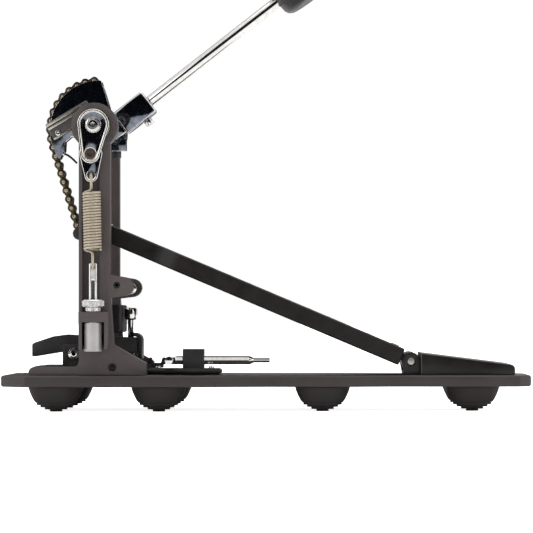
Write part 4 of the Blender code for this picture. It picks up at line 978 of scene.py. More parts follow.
@dataclass
class Drive(SubAssembly):
    """The shaft, the cam with its slide, the collar and the spring lever.

    Attributes:
        rise: Slope of the bars on the cam's slide, in degrees.
        levels: Heights of the two bars above the slide's middle.
    """

    rise: float = 31.0
    levels: tuple[float, ...] = (2.0 * MM, 4.7 * MM)

    def build(self) -> None:
        """Build everything that turns with the shaft."""
        self.soften([
            Softened("main_shaft", CHROME, 0.5 * MM),
            # Plated pieces: painted dark reflection on their faces, painted highlight on their rounded edges.
            Softened("drive_cam", PLATE_PAINTED_DARK_REFLECTION, 0.55 * MM, PLATE_EDGE_PAINTED_HIGHLIGHT, segments=2),
            Softened("cam_slide", SLIDE, 0.4 * MM),
            Softened("beater_hub", PLATE_PAINTED_DARK_REFLECTION, 0.6 * MM, PLATE_EDGE_PAINTED_HIGHLIGHT, segments=3, angle=30.0),
            Softened("beater_bolt", CHROME, 0.35 * MM),
            Softened("shaft_collar", PLATE_PAINTED_DARK_REFLECTION, 0.6 * MM, PLATE_EDGE_PAINTED_HIGHLIGHT, segments=3),
        ])
        self.build_slide_bars()
        self.build_collar_cap()
        self.build_finger()
        self.build_lever()
        self.build_lever_bolt()

    def slide_place(self) -> Matrix:
        """Return the place of the slide: its middle, with X up its slope."""
        middle = AXLE + Vector((-20.0 * MM, 0.0, 6.5 * MM))
        turn = Matrix.Rotation(-math.radians(self.rise), 4, "Y")
        return Matrix.Translation(middle) @ turn

    def build_slide_bars(self) -> None:
        """Lay polished bars and a screw on the slide's face."""
        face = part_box("cam_slide")[0].y - MID_Y
        place = self.slide_place()
        bars = []
        for level in self.levels:
            low = (-16.5 * MM, face - 0.9 * MM, level - 0.7 * MM)
            high = (12.0 * MM, face + 0.5 * MM, level + 0.7 * MM)
            bars.append(Bench.block("bar", low, high, 0.3 * MM, 2, place))
        lip = (-16.8 * MM, face - 0.5 * MM, -6.4 * MM)
        bars.append(Bench.block("lip", lip, (-3.0 * MM, face + 0.5 * MM, -5.2 * MM), 0.25 * MM, 2, place))
        strip = Bench.join("cam_slide_bars", bars)
        Bench.dress(strip, SLIDE_BAR)
        self.fit(strip, "shaft", "clamp_metal")
        centre = AXLE + Vector((-28.5 * MM, face, -2.6 * MM))
        screw = Bench.drum("cam_slide_screw", 1.9 * MM, centre + Y * 0.4 * MM,
                           centre - Y * 1.0 * MM, 0.3 * MM, 28)
        well = Bench.drum("well", 1.0 * MM, centre - Y * 0.5 * MM, centre - Y * 2.0 * MM,
                          SHARP, 6)
        Bench.pierce(screw, well)
        Bench.dress(screw, CHROME)
        self.fit(screw, "shaft", "chrome")

    def build_collar_cap(self) -> None:
        """Set the black socket cap under the collar."""
        low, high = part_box("shaft_collar")
        foot = Vector((AXLE.x + 9.5 * MM, (low.y + high.y) / 2, low.z))
        cap = Bench.drum("collar_bolt_cap", 3.75 * MM, foot - Z * 0.3 * MM, foot + Z * 4.4 * MM,
                         0.5 * MM, 40)
        well = Bench.drum("well", 1.6 * MM, foot - Z * MM, foot + Z * 2.2 * MM, SHARP, 6)
        Bench.pierce(cap, well)
        Bench.dress(cap, BLACK)
        self.fit(cap, "shaft", "clamp_metal")

    def build_finger(self) -> None:
        """Bend the thin rubber stop under the cam's tip."""
        points = []
        for step in range(9):
            share = step / 8
            across = -25.2 + 8.6 * share
            drop = -16.6 - 6.4 * share ** 1.5
            points.append((AXLE.x + across * MM, MID_Y, AXLE.z + drop * MM))
        finger = Bench.wire("cam_stop_finger", points, 0.75 * MM, 4)
        Bench.hold(finger)
        bpy.ops.object.mode_set(mode="EDIT")
        bpy.ops.mesh.select_all(action="SELECT")
        bpy.ops.transform.resize(value=(1.0, 5.0, 1.0), center_override=(0.0, MID_Y, 0.0))
        bpy.ops.object.mode_set(mode="OBJECT")
        Bench.dress(finger, RUBBER)
        self.fit(finger, "shaft", "rubber")

    def build_lever(self) -> None:
        """Build the tear-shaped spring lever with its raised rim, whose rounded edges carry a painted
        highlight.
        """
        low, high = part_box("spring_lever")
        down = Vector((-math.sin(LEVER_LEAN), 0.0, -math.cos(LEVER_LEAN)))
        out = -Y
        turn = Matrix((down, out.cross(down), out)).transposed().to_4x4()
        base = Matrix.Translation(Vector((AXLE.x, high.y, AXLE.z))) @ turn
        depth = high.y - low.y
        rim = Bench.plate("lever_rim", LEVER_LENGTH, 10.8 * MM, 6.4 * MM, 0.0, depth, base, 72)
        above = base @ Matrix.Translation((0.0, 0.0, depth - 1.0 * MM))
        sunk = Bench.plate("sunk", LEVER_LENGTH, 9.3 * MM, 4.95 * MM, 0.0, 3.0 * MM, above, 72)
        Bench.pierce(rim, sunk)
        well_start = base @ Vector((LEVER_LENGTH, 0.0, depth - 3.0 * MM))
        well_end = base @ Vector((LEVER_LENGTH, 0.0, depth + MM))
        bore = Bench.drum("bore", 5.05 * MM, base @ Vector((0, 0, -MM)), base @ Vector((0, 0, depth + MM)),
                          SHARP, 48)
        well = Bench.drum("well", 3.9 * MM, well_start, well_end, SHARP, 40)
        Bench.pierce(rim, bore, well)
        # Lever faces: plating with a painted dark reflection.
        Bench.dress(rim, PLATE_PAINTED_DARK_REFLECTION)
        # The lever's rounded edges take the plating's painted highlight.
        rim.data.materials.append(PLATE_EDGE_PAINTED_HIGHLIGHT.material())
        Bench.round_edges(rim, 0.46 * MM, 3, 50.0, STRIP_SLOT)
        self.fit(rim, "shaft", "plated", "spring_lever")
        ring = Bench.drum("lever_bearing", 3.85 * MM, well_start + out * 0.02 * MM,
                          well_start + out * 1.6 * MM, 0.3 * MM, 40)
        hole = Bench.drum("hole", 2.0 * MM, well_start + out * 0.3 * MM,
                          well_start + out * 3.0 * MM, SHARP, 30)
        Bench.pierce(ring, hole)
        Bench.dress(ring, BUSH)
        self.fit(ring, "shaft", "zinc")

    def build_lever_bolt(self) -> None:
        """Build the socket bolt at the end of the shaft, with its washer ring."""
        low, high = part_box("lever_bolt")
        start = Vector((AXLE.x, high.y, AXLE.z))
        end = Vector((AXLE.x, low.y, AXLE.z))
        bolt = Bench.drum("lever_bolt_socket", 4.3 * MM, start, end, 0.5 * MM, 48)
        ring = Bench.drum("ring", 3.4 * MM, end + Y * 0.7 * MM, end - Y * MM, SHARP, 40)
        Bench.pierce(bolt, ring)
        core = Bench.drum("core", 3.1 * MM, start - Y * 0.3 * MM, end + Y * 0.1 * MM, 0.3 * MM, 36)
        slot = Bench.drum("slot", 1.8 * MM, end + Y * 1.6 * MM, end - Y * MM, SHARP, 6)
        Bench.pierce(core, slot)
        # Bolt core: painted dark reflection; outer head: painted highlight of the same plating.
        Bench.dress(core, PLATE_PAINTED_DARK_REFLECTION)
        Bench.dress(bolt, PLATE_EDGE_PAINTED_HIGHLIGHT)
        self.fit(Bench.join("lever_bolt_socket", [bolt, core]), "shaft", "zinc", "lever_bolt")


# --------------------------------------------------------------------- chain


@dataclass
class Chain(SubAssembly):
    """The double roller chain from the cam down to the toe of the board.

    Attributes:
        pitch: Distance between pins.
        radius: Radius of the pins' line round the axle.
        plate: Half-height of a link plate.
        toe: Place of the lower end from the axle, in X and Z.
        free: Links that bend as the cam turns.
        fixed: Links that stay on the cam.
        waist: Half-height of a plate midway, as a share of its ends'.
        sheet: Thickness of a plate.
        outer_y: Near face of an outer plate, from the chain's middle.
    """

    pitch: float = 6.35 * MM
    radius: float = 34.9 * MM
    plate: float = 2.9 * MM
    toe: Pair = (-14.1 * MM, -73.0 * MM)
    free: int = 6
    fixed: int = 4
    waist: float = 0.52
    sheet: float = 0.9 * MM
    outer_y: float = 6.0 * MM

    def pins(self) -> list[Pair]:
        """Return the pins' places from the axle, the top of the cam first."""
        reach = math.hypot(*self.toe)
        run = math.sqrt(reach * reach - self.radius * self.radius)
        leave = math.atan2(self.toe[1], self.toe[0]) % math.tau - math.acos(self.radius / reach)
        links = int(run / self.pitch)
        straight = run - links * self.pitch
        down = (-math.sin(leave), math.cos(leave))
        edge = (self.radius * math.cos(leave), self.radius * math.sin(leave))
        step = 2 * math.asin(self.pitch / 2 / self.radius)
        first = leave - (self.pitch - straight) / self.radius
        places = []
        for index in range(self.free + self.fixed):
            angle = first - step * index
            places.append((self.radius * math.cos(angle), self.radius * math.sin(angle)))
        places.reverse()
        for index in range(links + 1):
            length = straight + self.pitch * index
            places.append((edge[0] + down[0] * length, edge[1] + down[1] * length))
        return places

    def build(self) -> None:
        """Build one outer and one inner link, then copy them along the chain."""
        outer = self.outer_link()
        inner = self.inner_link()
        pins = self.pins()
        groups: dict[str, list[Object]] = {}
        for index in range(len(pins) - 1):
            start, end = pins[index], pins[index + 1]
            model = outer if (index - self.fixed) % 2 == 0 else inner
            link = model.copy()
            link.data = model.data.copy()
            bpy.context.scene.collection.objects.link(link)
            turn = Matrix.Rotation(-math.atan2(end[1] - start[1], end[0] - start[0]), 4, "Y")
            place = Matrix.Translation(AXLE + Vector((start[0], 0.0, start[1])))
            Bench.settle(link, place @ turn)
            groups.setdefault(self.node_of(index), []).append(link)
        for model in (outer, inner):
            bpy.data.objects.remove(model, do_unlink=True)
        for node, links in groups.items():
            body = frame["nodes"][node]["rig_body"]
            self.fit(Bench.join(f"{node}_detailed", links), body, "chain_steel", node)

    def node_of(self, index: int) -> str:
        """Return the frame node that a link belongs to.

        Args:
            index: The link's number from the top of the cam.

        Returns:
            The node's name.
        """
        if index < self.fixed:
            return "cam_chain"
        if index < self.fixed + self.free:
            return f"chain_link_{index - self.fixed + 1}"
        return "chain_run"

    def side_plate(self, name: str, start: float) -> Object:
        """Return one waisted plate whose lower face is at a Y.

        Args:
            name: The plate's name.
            start: Its near face, from the chain's middle.

        Returns:
            The plate with softened rims.
        """
        place = Matrix.Translation((0.0, start + self.sheet, 0.0)) @ Matrix.Rotation(math.radians(90), 4, "X")
        piece = Bench.plate(name, self.pitch, self.plate, self.plate, self.plate * self.waist,
                            self.sheet, place, 28)
        Bench.round_edges(piece, 0.24 * MM, 2, 50.0)
        return Bench.dress(piece, CHAIN_DARK)

    def outer_link(self) -> Object:
        """Return a link with two outer plates, pins and their rivet heads."""
        parts = [self.side_plate("outer", -self.outer_y - self.sheet),
                 self.side_plate("outer", self.outer_y)]
        reach = self.outer_y + self.sheet + 0.28 * MM
        for index in (0, 1):
            x = index * self.pitch
            pin = Bench.drum("pin", 1.35 * MM, Vector((x, -reach, 0.0)), Vector((x, reach, 0.0)),
                             0.25 * MM, 16)
            for side in (-1, 1):
                dimple = Bench.drum("dimple", 0.7 * MM, Vector((x, side * (reach - 0.25 * MM), 0.0)),
                                    Vector((x, side * (reach + MM), 0.0)), SHARP, 12)
                Bench.pierce(pin, dimple)
            parts.append(Bench.dress(pin, CHAIN_BRIGHT))
        return Bench.join("outer_link", parts)

    def inner_link(self) -> Object:
        """Return a link with two pairs of inner plates and four rollers."""
        parts = []
        for start in (-5.7 * MM, -1.0 * MM, 0.1 * MM, 4.8 * MM):
            parts.append(self.side_plate("inner", start))
        for index in (0, 1):
            x = index * self.pitch
            for low, high in ((-4.7, -1.1), (1.1, 4.7)):
                roller = Bench.drum("roller", 1.95 * MM, Vector((x, low * MM, 0.0)),
                                    Vector((x, high * MM, 0.0)), 0.2 * MM, 20)
                parts.append(Bench.dress(roller, CHAIN_BRIGHT))
        return Bench.join("inner_link", parts)


# ----------------------------------------------------------------- footboard


@dataclass
class Footboard(SubAssembly):
    """The board, its grip bars and what hangs under it.

    Attributes:
        slope: Slope of the board at rest, in degrees.
        reach: From the hinge line to the toe along the board.
        top: Board's top face above the hinge line.
        rows: Rows of grip bars.
    """

    slope: float = 22.87
    reach: float = 248.5 * MM
    top: float = 6.4 * MM
    rows: int = 13

    def place(self) -> Matrix:
        """Return the board's own place, with -X up its slope to the toe."""
        return Matrix.Translation(HINGE) @ Matrix.Rotation(math.radians(self.slope), 4, "Y")

    def build(self) -> None:
        """Build the board, its grip and its brackets."""
        self.soften([
            # The board's rounded edges carry a painted highlight.
            Softened("footboard", BOARD, 0.9 * MM, BOARD_EDGE_PAINTED_HIGHLIGHT_AND_GRIP, segments=3, angle=50.0),
            Softened("hinge_knuckle", BLACK, 0.3 * MM),
            Softened("chain_bracket", BLACK, 0.3 * MM),
        ])
        self.build_grip()
        self.build_rivets()

    def build_grip(self) -> None:
        """Lay rows of short grip bars across the board."""
        bars = []
        place = self.place()
        for row in range(self.rows):
            along = -34.0 * MM - row * 15.2 * MM
            wide = 27.0 * MM if row < 9 else 22.0 * MM
            pieces = 4 if row % 2 == 0 else 3
            span = 2 * wide / pieces
            for part in range(pieces):
                start = -wide + span * part + 1.6 * MM
                low = (along - 1.3 * MM, start, self.top - 0.5 * MM)
                high = (along + 1.3 * MM, start + span - 3.2 * MM, self.top + 0.14 * MM)
                bars.append(Bench.block("bar", low, high, 0.12 * MM, 2, place))
        grip = Bench.join("footboard_grip_bars", bars)
        # Grip bars take the lighter tone of the board's painted edge highlight.
        Bench.dress(grip, BOARD_EDGE_PAINTED_HIGHLIGHT_AND_GRIP)
        self.fit(grip, "footboard", "board_metal")

    def build_rivets(self) -> None:
        """Set the screws that hold the knuckle and the chain bracket."""
        place = self.place()
        heads = []
        for along, half in ((-14.0, 19.0), (-self.reach / MM + 15.0, 5.0)):
            for side in (-1, 1):
                start = place @ Vector((along * MM, side * half * MM, self.top - 0.5 * MM))
                end = place @ Vector((along * MM, side * half * MM, self.top + 0.7 * MM))
                head = Bench.drum("screw", 2.6 * MM, start, end, 0.35 * MM, 28)
                well = Bench.drum("well", 1.3 * MM, start + (end - start) * 0.4, end + (end - start),
                                  SHARP, 6)
                heads.append(Bench.dress(Bench.pierce(head, well), BEIGE_ZINC))
        self.fit(Bench.join("footboard_screws", heads), "footboard", "zinc")


@dataclass
class Heel(SubAssembly):
    """The heel plate and the hinge that the board turns on.

    Attributes:
        lines: Grip lines across the heel plate.
    """

    lines: int = 5

    def build(self) -> None:
        """Build the heel plate, the ears and the pin."""
        self.soften([
            # The heel plate's rounded edges carry a painted highlight.
            Softened("heel_plate", BOARD, 0.7 * MM, BOARD_EDGE_PAINTED_HIGHLIGHT_AND_GRIP, segments=3, angle=50.0),
            Softened("heel_hinge", BLACK, 0.35 * MM, angle=50.0),
            Softened("hinge_pin", BEIGE_ZINC, 0.4 * MM, segments=3),
        ])
        self.build_lines()

    def build_lines(self) -> None:
        """Lay grip lines across the heel plate."""
        low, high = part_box("heel_plate")
        front = Vector((low.x, 0.0, 40.4 * MM))
        rear = Vector((high.x - 3.6 * MM, 0.0, 32.6 * MM))
        slope = math.atan2(front.z - rear.z, rear.x - front.x)
        bars = []
        for line in range(self.lines):
            share = 0.16 + 0.165 * line
            spot = front + (rear - front) * share + Y * MID_Y
            place = Matrix.Translation(spot) @ Matrix.Rotation(slope, 4, "Y")
            bars.append(Bench.block("line", (-1.0 * MM, -29.0 * MM, -0.5 * MM),
                                    (1.0 * MM, 29.0 * MM, 0.1 * MM), 0.08 * MM, 2, place))
        strip = Bench.join("heel_grip_lines", bars)
        # Heel grip lines take the lighter tone of the board's painted edge highlight.
        Bench.dress(strip, BOARD_EDGE_PAINTED_HIGHLIGHT_AND_GRIP)
        self.fit(strip, "frame", "board_metal")


# -------------------------------------------------------------------- beater


@dataclass
class Beater(SubAssembly):
    """The rod and the two-faced head.

    Attributes:
        tilt: Rod's slope in degrees.
        offset: Rod's line from the axle.
        middle: Head's middle along the rod.
        head: Radius of the head.
    """

    tilt: float = 38.0
    offset: float = -5.5 * MM
    middle: float = 179.3 * MM
    head: float = 26.0 * MM

    def line(self) -> tuple[Vector, Vector, Vector]:
        """Return the rod's foot, its direction and the direction of the felt."""
        angle = math.radians(self.tilt)
        along = Vector((math.cos(angle), 0.0, math.sin(angle)))
        front = Vector((-math.sin(angle), 0.0, math.cos(angle)))
        return AXLE + front * self.offset, along, front

    def build(self) -> None:
        """Build the rod, the core and the felt."""
        foot, along, front = self.line()
        rod = Bench.drum("beater_rod_polished", 4.0 * MM, foot + along * 14.3 * MM,
                         foot + along * 190.3 * MM, 0.6 * MM, 40)
        Bench.dress(rod, CHROME)
        self.fit(rod, "beater", "chrome", "beater_rod")
        middle = foot + along * self.middle
        place = Bench.aim(middle, front)
        radius = self.head
        profile = [(radius - 7.5 * MM, -13.0 * MM), (radius - 5.0 * MM, -12.6 * MM),
                   (radius - 2.6 * MM, -11.0 * MM), (radius - 1.3 * MM, -8.5 * MM),
                   (radius - 1.0 * MM, -5.0 * MM), (radius - 1.0 * MM, 7.5 * MM),
                   (radius - 1.8 * MM, 8.2 * MM), (radius - 1.8 * MM, 9.4 * MM),
                   (radius - 1.0 * MM, 10.0 * MM), (radius - 1.0 * MM, 12.7 * MM),
                   (radius - 1.3 * MM, 13.0 * MM)]
        core = Bench.turned("beater_core_moulded", profile, place, 72)
        hole = Bench.drum("hole", 4.3 * MM, middle - along * 40 * MM, middle + along * 11.3 * MM,
                          SHARP, 32)
        Bench.pierce(core, hole)
        Bench.dress(core, PLASTIC)
        self.fit(core, "beater_head", "plastic", "beater_core")
        self.build_felt(place)

    def build_felt(self, place: Matrix) -> None:
        """Turn the crowned felt and pull its surface about a little.

        Args:
            place: The head's place, with Z towards the felt.
        """
        low, high, crown = 13.3 * MM, 32.1 * MM, 8.5 * MM
        rings = [(self.head - 0.8 * MM, low), (self.head - 0.2 * MM, low + 0.8 * MM),
                 (self.head, low + 2.2 * MM), (self.head, (low + high - crown) / 2),
                 (self.head, high - crown)]
        for step in range(1, 9):
            angle = math.radians(90.0 * step / 9)
            rings.append((self.head - crown + crown * math.cos(angle),
                          high - crown + crown * math.sin(angle)))
        rings += [(radius * MM, high + (17.5 - radius) * 0.012 * MM) for radius in (14.0, 9.0, 4.0, 1.0)]
        felt = Bench.turned("beater_felt_pressed", rings, place, 96)
        relief = bpy.data.textures.new("felt_relief", "CLOUDS")
        relief.noise_scale = 3.0 * MM
        lump = felt.modifiers.new("lumps", "DISPLACE")
        lump.texture = relief
        lump.texture_coords = "LOCAL"
        lump.strength = 0.35 * MM
        lump.mid_level = 0.6
        Bench.hold(felt)
        bpy.ops.object.modifier_apply(modifier=lump.name)
        Bench.dress(felt, FELT)
        self.fit(felt, "beater_head", "felt", "beater_felt", angle=60.0)


# ------------------------------------------------------------- return spring


@dataclass
class ReturnSpring(SubAssembly):
    """The coil with its hooks and link, and the tension bolt below.

    Attributes:
        turns: Turns of the coil.
        coil: Radius to the middle of the wire.
        wire: Radius of the wire.
        low: Coil's start above the anchor.
        high: Coil's end above the anchor.
        drop: From the lever's pivot down to the link's eye.
        anchor: Place of the eye that the lower hook holds.
    """

    turns: int = 20
    coil: float = 5.5 * MM
    wire: float = 0.90 * MM
    low: float = 12.1 * MM
    high: float = 51.4 * MM
    drop: float = 14.7 * MM
    anchor: Point = (-118.9 * MM, SPRING_Y, 99.4 * MM)

    def line(self) -> tuple[Matrix, float]:
        """Return the spring's place, with Z up its line, and its length."""
        pivot = Vector((AXLE.x - LEVER_LENGTH * math.sin(LEVER_LEAN), SPRING_Y,
                        AXLE.z - LEVER_LENGTH * math.cos(LEVER_LEAN)))
        along = pivot - Vector(self.anchor)
        tilt = math.atan2(along.x, along.z)
        return Matrix.Translation(self.anchor) @ Matrix.Rotation(tilt, 4, "Y"), along.length

    def build(self) -> None:
        """Build the spring, its link and the tension bolt."""
        place, length = self.line()
        self.build_coil(place)
        self.build_hooks(place, length - self.drop)
        self.build_link(place, length)
        self.build_eye_bolt()
        self.build_nut()
        self.build_sleeve()

    def build_coil(self, place: Matrix) -> None:
        """Wind the close coil, which stretches between its two hooks.

        Args:
            place: The spring's place.
        """
        steps = 24
        points = []
        total = self.turns * steps
        for index in range(total + 1):
            angle = math.tau * index / steps
            height = self.low + (self.high - self.low) * index / total
            spot = Vector((self.coil * math.cos(angle), self.coil * math.sin(angle), height))
            points.append(tuple(place @ spot))
        coil = Bench.wire("spring_coil_wound", points, self.wire, 3, smooth=False)
        Bench.dress(coil, SPRING_WIRE)
        Bench.smooth(coil, 60.0)
        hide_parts("spring_coil")
        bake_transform(coil)

    def build_hooks(self, place: Matrix, eye: float) -> None:
        """Bend the hook at each end of the coil.

        Args:
            place: The spring's place.
            eye: Height of the link's eye.
        """
        wire = 0.95 * MM
        ends = (("spring_lower_hook", "spring_lower", self.low, 0.0, -1.0),
                ("spring_upper_hook", "spring_upper", self.high, eye, 1.0))
        for node, body, foot, hole, side in ends:
            points = [(-self.coil, 0.0, foot - side * 0.6 * MM),
                      (-self.coil * 0.75, 0.0, foot + side * 0.5 * MM),
                      (-1.5 * MM, 0.0, foot + side * 1.0 * MM),
                      (0.0, -0.6 * MM, foot + side * 2.2 * MM)]
            reach = 2.9 * MM
            points.append((0.0, -reach, hole - side * 3.4 * MM))
            for step in range(9):
                angle = math.radians(180 - 22.5 * step)
                points.append((0.0, reach * math.cos(angle),
                               hole + side * (2.2 * MM * math.sin(angle) - 0.9 * MM)))
            points.append((0.0, reach, hole - side * 3.0 * MM))
            world = [tuple(place @ Vector(point)) for point in points]
            hook = Bench.wire(f"{node}_bent", world, wire, 4)
            Bench.dress(hook, SPRING_WIRE)
            self.fit(hook, body, "spring_steel", node, angle=60.0)

    def build_link(self, place: Matrix, length: float) -> None:
        """Build the plated link that hangs from the lever.

        Args:
            place: The spring's place.
            length: From the anchor to the lever's pivot.
        """
        low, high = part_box("spring_link")
        thick = high.y - low.y
        flat = place @ Matrix.Translation((0.0, high.y - SPRING_Y, length)) \
            @ Matrix.Rotation(math.radians(90), 4, "X") @ Matrix.Rotation(math.radians(-90), 4, "Z")
        link = Bench.plate("spring_link_plated", self.drop, 7.9 * MM, 4.5 * MM, 0.0, thick, flat, 64)
        hole = Bench.drum("hole", 2.6 * MM, flat @ Vector((self.drop, 0, -MM)),
                          flat @ Vector((self.drop, 0, thick + MM)), SHARP, 36)
        Bench.pierce(link, hole)
        # Link faces: plating with a painted dark reflection.
        Bench.dress(link, PLATE_PAINTED_DARK_REFLECTION)
        # The link's rounded edges take the plating's painted highlight.
        link.data.materials.append(PLATE_EDGE_PAINTED_HIGHLIGHT.material())
        Bench.round_edges(link, 0.42 * MM, 3, 50.0, STRIP_SLOT)
        self.fit(link, "spring_upper", "plated", "spring_link")
        collar = Bench.drum("link_eye_ring", 3.5 * MM, flat @ Vector((self.drop, 0, thick - 0.2 * MM)),
                            flat @ Vector((self.drop, 0, thick + 0.35 * MM)), 0.2 * MM, 40)
        hole = Bench.drum("hole", 2.55 * MM, flat @ Vector((self.drop, 0, 0)),
                          flat @ Vector((self.drop, 0, thick + 3 * MM)), SHARP, 36)
        Bench.pierce(collar, hole)
        # The eye ring is painted in the plating's highlight tone.
        Bench.dress(collar, PLATE_EDGE_PAINTED_HIGHLIGHT)
        self.fit(collar, "spring_upper", "plated")

    def build_eye_bolt(self) -> None:
        """Build the eye bolt with its flattened, threaded rod."""
        x, y, z = self.anchor
        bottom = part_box("eye_bolt")[0].z
        nut_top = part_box("tension_nut")[1].z
        flat = Bench.block("flat", (x - 2.7 * MM, y - 1.7 * MM, nut_top - 1.5 * MM),
                           (x + 2.7 * MM, y + 1.7 * MM, z + 2.8 * MM), 0.8 * MM, 3)
        hole = Bench.drum("hole", 1.6 * MM, Vector((x, y - 3 * MM, z)), Vector((x, y + 3 * MM, z)),
                          SHARP, 32)
        slot = Bench.block("slot", (x - 1.35 * MM, y - 4 * MM, nut_top - 3 * MM),
                           (x + 1.35 * MM, y - 0.6 * MM, z - 7.5 * MM), 0.5 * MM, 3)
        Bench.pierce(flat, hole, slot)
        Bench.dress(flat, ZINC)
        stem = Bench.drum("stem", 2.4 * MM, Vector((x, y, bottom)), Vector((x, y, nut_top - MM)),
                          0.4 * MM, 32)
        Bench.dress(stem, ZINC)
        rings, level, pitch = [(0.9 * MM, nut_top - 2 * MM)], nut_top - 1.6 * MM, 1.1 * MM
        while level < z - 9.0 * MM:
            rings += [(1.25 * MM, level), (0.8 * MM, level + pitch / 2)]
            level += pitch
        thread = Bench.turned("thread", rings, Matrix.Translation((x, y - 0.45 * MM, 0.0)), 24)
        Bench.dress(thread, SLIDE)
        bolt = Bench.join("eye_bolt_threaded", [flat, stem, thread])
        self.fit(bolt, "frame", "zinc", "eye_bolt")

    def build_nut(self) -> None:
        """Turn the nut and cut its diamond knurl."""
        low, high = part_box("tension_nut")
        centre = Vector(((low.x + high.x) / 2, (low.y + high.y) / 2, 0.0))
        steps, rows, radius, depth = 44, 4, 7.5 * MM, 0.42 * MM
        height = high.z - low.z - 1.0 * MM
        rings = [(6.7 * MM, low.z), (radius - depth, low.z + 0.5 * MM)]
        rings += [(radius - depth, low.z + 0.5 * MM + height * (row + 1) / rows) for row in range(rows)]
        rings.append((6.7 * MM, high.z))
        nut = Bench.turned("tension_nut_knurled", rings, Matrix.Translation(centre), steps)
        Bench.hold(nut)
        bpy.ops.object.mode_set(mode="EDIT")
        bpy.ops.mesh.select_all(action="DESELECT")
        bpy.ops.object.mode_set(mode="OBJECT")
        for face in nut.data.polygons:
            middle = face.center - centre
            outward = middle.x * face.normal.x + middle.y * face.normal.y
            inside = low.z + 0.4 * MM < face.center.z < high.z - 0.4 * MM
            face.select = inside and outward > 5.0 * MM
        bpy.ops.object.mode_set(mode="EDIT")
        bpy.ops.mesh.select_mode(type="FACE")
        bpy.ops.mesh.poke(offset=depth * 1.8)
        bpy.ops.object.mode_set(mode="OBJECT")
        Bench.bore_upright(nut, centre, low.z, high.z)
        Bench.dress(nut, ZINC)
        self.fit(nut, "tension_nut", "zinc", "tension_nut", angle=20.0)

    def build_sleeve(self) -> None:
        """Turn the satin sleeve and the serrated ring over it."""
        for node, finish, slot in (("spring_sleeve", SATIN_ALLOY, "aluminium"), ("lock_ring", ZINC, "zinc")):
            low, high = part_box(node)
            centre = Vector(((low.x + high.x) / 2, (low.y + high.y) / 2, 0.0))
            radius = (high.x - low.x) / 2
            edge = 0.45 * MM
            rings = [(radius - edge, low.z), (radius, low.z + edge), (radius, high.z - edge),
                     (radius - edge, high.z)]
            piece = Bench.turned(f"{node}_turned", rings, Matrix.Translation(centre), 56)
            Bench.bore_upright(piece, centre, low.z, high.z)
            if node == "lock_ring":
                Bench.pierce(piece, self.notches(centre, radius, low.z, high.z))
            Bench.dress(piece, finish)
            self.fit(piece, "frame", slot, node)

    @staticmethod
    def notches(centre: Vector, radius: float, low: float, high: float, count: int = 16) -> Object:
        """Return the tool that cuts upright notches round a ring.

        Args:
            centre: The ring's middle, at the floor.
            radius: The ring's radius.
            low: Its lower face.
            high: Its upper face.
            count: Number of notches.

        Returns:
            The joined tool.
        """
        cutters = []
        for number in range(count):
            place = Matrix.Translation(centre) @ Matrix.Rotation(math.tau * number / count, 4, "Z")
            cutters.append(Bench.block("notch", (radius - 0.45 * MM, -0.45 * MM, low - MM),
                                       (radius + MM, 0.45 * MM, high + MM), 0.1 * MM, 1, place))
        return Bench.join("notches", cutters)


# ---------------------------------------------------------------- hoop clamp


@dataclass
class HoopClamp(SubAssembly):
    """The toothed jaw, its seat, its bracket, its cap and its screw."""

    def build(self) -> None:
        """Build the clamp."""
        self.soften([
            Softened("hoop_pad", RUBBER, 0.5 * MM),
            Softened("clamp_arm", BLACK, 0.12 * MM),
            Softened("clamp_bracket", BLACK, 0.35 * MM, angle=50.0),
            Softened("clamp_cap", BLACK, 0.3 * MM),
            Softened("clamp_pivot_screw", CHROME, 0.45 * MM, segments=3),
            Softened("clamp_screw", CHROME, 0.3 * MM),
        ])
        self.build_pivot_socket()

    def build_pivot_socket(self) -> None:
        """Ring the pivot screw's head with its socket."""
        low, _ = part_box("clamp_pivot_screw")
        centre = Vector((-135.8 * MM, low.y, 39.4 * MM))
        ring = Bench.drum("pivot_socket_ring", 2.9 * MM, centre + Y * 0.3 * MM, centre - Y * 0.5 * MM,
                          0.2 * MM, 36)
        well = Bench.drum("well", 1.6 * MM, centre, centre - Y * 3 * MM, SHARP, 6)
        Bench.pierce(ring, well)
        Bench.dress(ring, CHROME)
        self.fit(ring, "frame", "chrome")


# --------------------------------------------------------------- tool holder


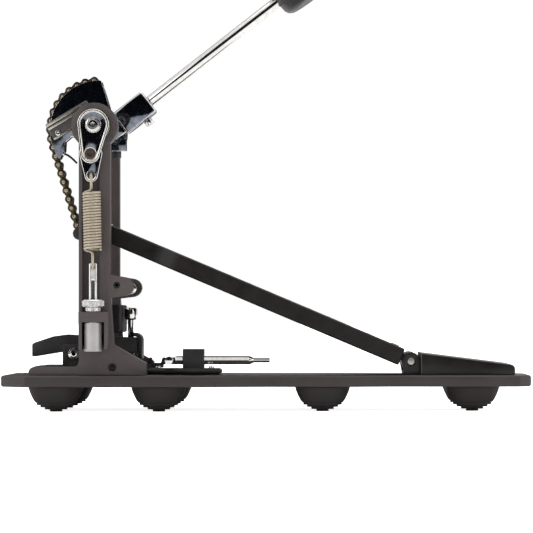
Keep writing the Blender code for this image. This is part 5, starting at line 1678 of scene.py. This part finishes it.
@dataclass
class ToolHolder(SubAssembly):
    """The plate on the base with its clip, drum key, wing nut and bolts.

    Attributes:
        bolt_places: Places of the small bolts along X.
    """

    bolt_places: tuple[float, ...] = (-76.0 * MM, -39.0 * MM)

    def build(self) -> None:
        """Build the holder and what it holds."""
        self.soften([
            Softened("tool_plate", BLACK, 0.4 * MM),
            Softened("tool_clip", PLASTIC, 0.4 * MM, angle=50.0),
            Softened("drum_key", CHROME, 0.3 * MM, segments=3, angle=50.0),
            Softened("wing_nut", BLACK, 0.35 * MM, angle=50.0),
        ])
        self.build_key_shoulder()
        self.build_bolts()

    def build_key_shoulder(self) -> None:
        """Turn the cone where the key's shank steps down to its square."""
        start = Vector((AXLE.x + 105.7 * MM, MID_Y - 22.0 * MM, 35.1 * MM))
        rings = [(2.6 * MM, -0.6 * MM), (2.95 * MM, 0.0), (2.9 * MM, 0.6 * MM), (1.85 * MM, 3.0 * MM),
                 (1.6 * MM, 3.3 * MM)]
        cone = Bench.turned("drum_key_shoulder", rings, Bench.aim(start, X), 40)
        Bench.dress(cone, CHROME)
        self.fit(cone, "drum_key", "chrome")

    def build_bolts(self) -> None:
        """Set small cap bolts along the near edge of the plate."""
        heads = []
        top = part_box("tool_plate")[1].z
        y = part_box("tool_plate")[0].y + 4.5 * MM
        for x in self.bolt_places:
            start = Vector((x, y, top - 0.3 * MM))
            head = Bench.drum("bolt", 1.9 * MM, start, start + Z * 2.0 * MM, 0.35 * MM, 28)
            well = Bench.drum("well", 1.0 * MM, start + Z * 1.2 * MM, start + Z * 4 * MM, SHARP, 6)
            heads.append(Bench.dress(Bench.pierce(head, well), CHROME))
        self.fit(Bench.join("tool_plate_bolts", heads), "frame", "chrome")


def main() -> None:
    """Build every sub-assembly, then the studio."""
    logging.basicConfig(level=logging.INFO, format="%(name)s: %(message)s")
    groups = (Base(), Posts(), Drive(), Chain(), Footboard(), Heel(), Beater(), ReturnSpring(),
              HoopClamp(), ToolHolder())
    for group in groups:
        group.build()
    Studio().build()
    Bench.clear()


if __name__ == "__main__":
    main()
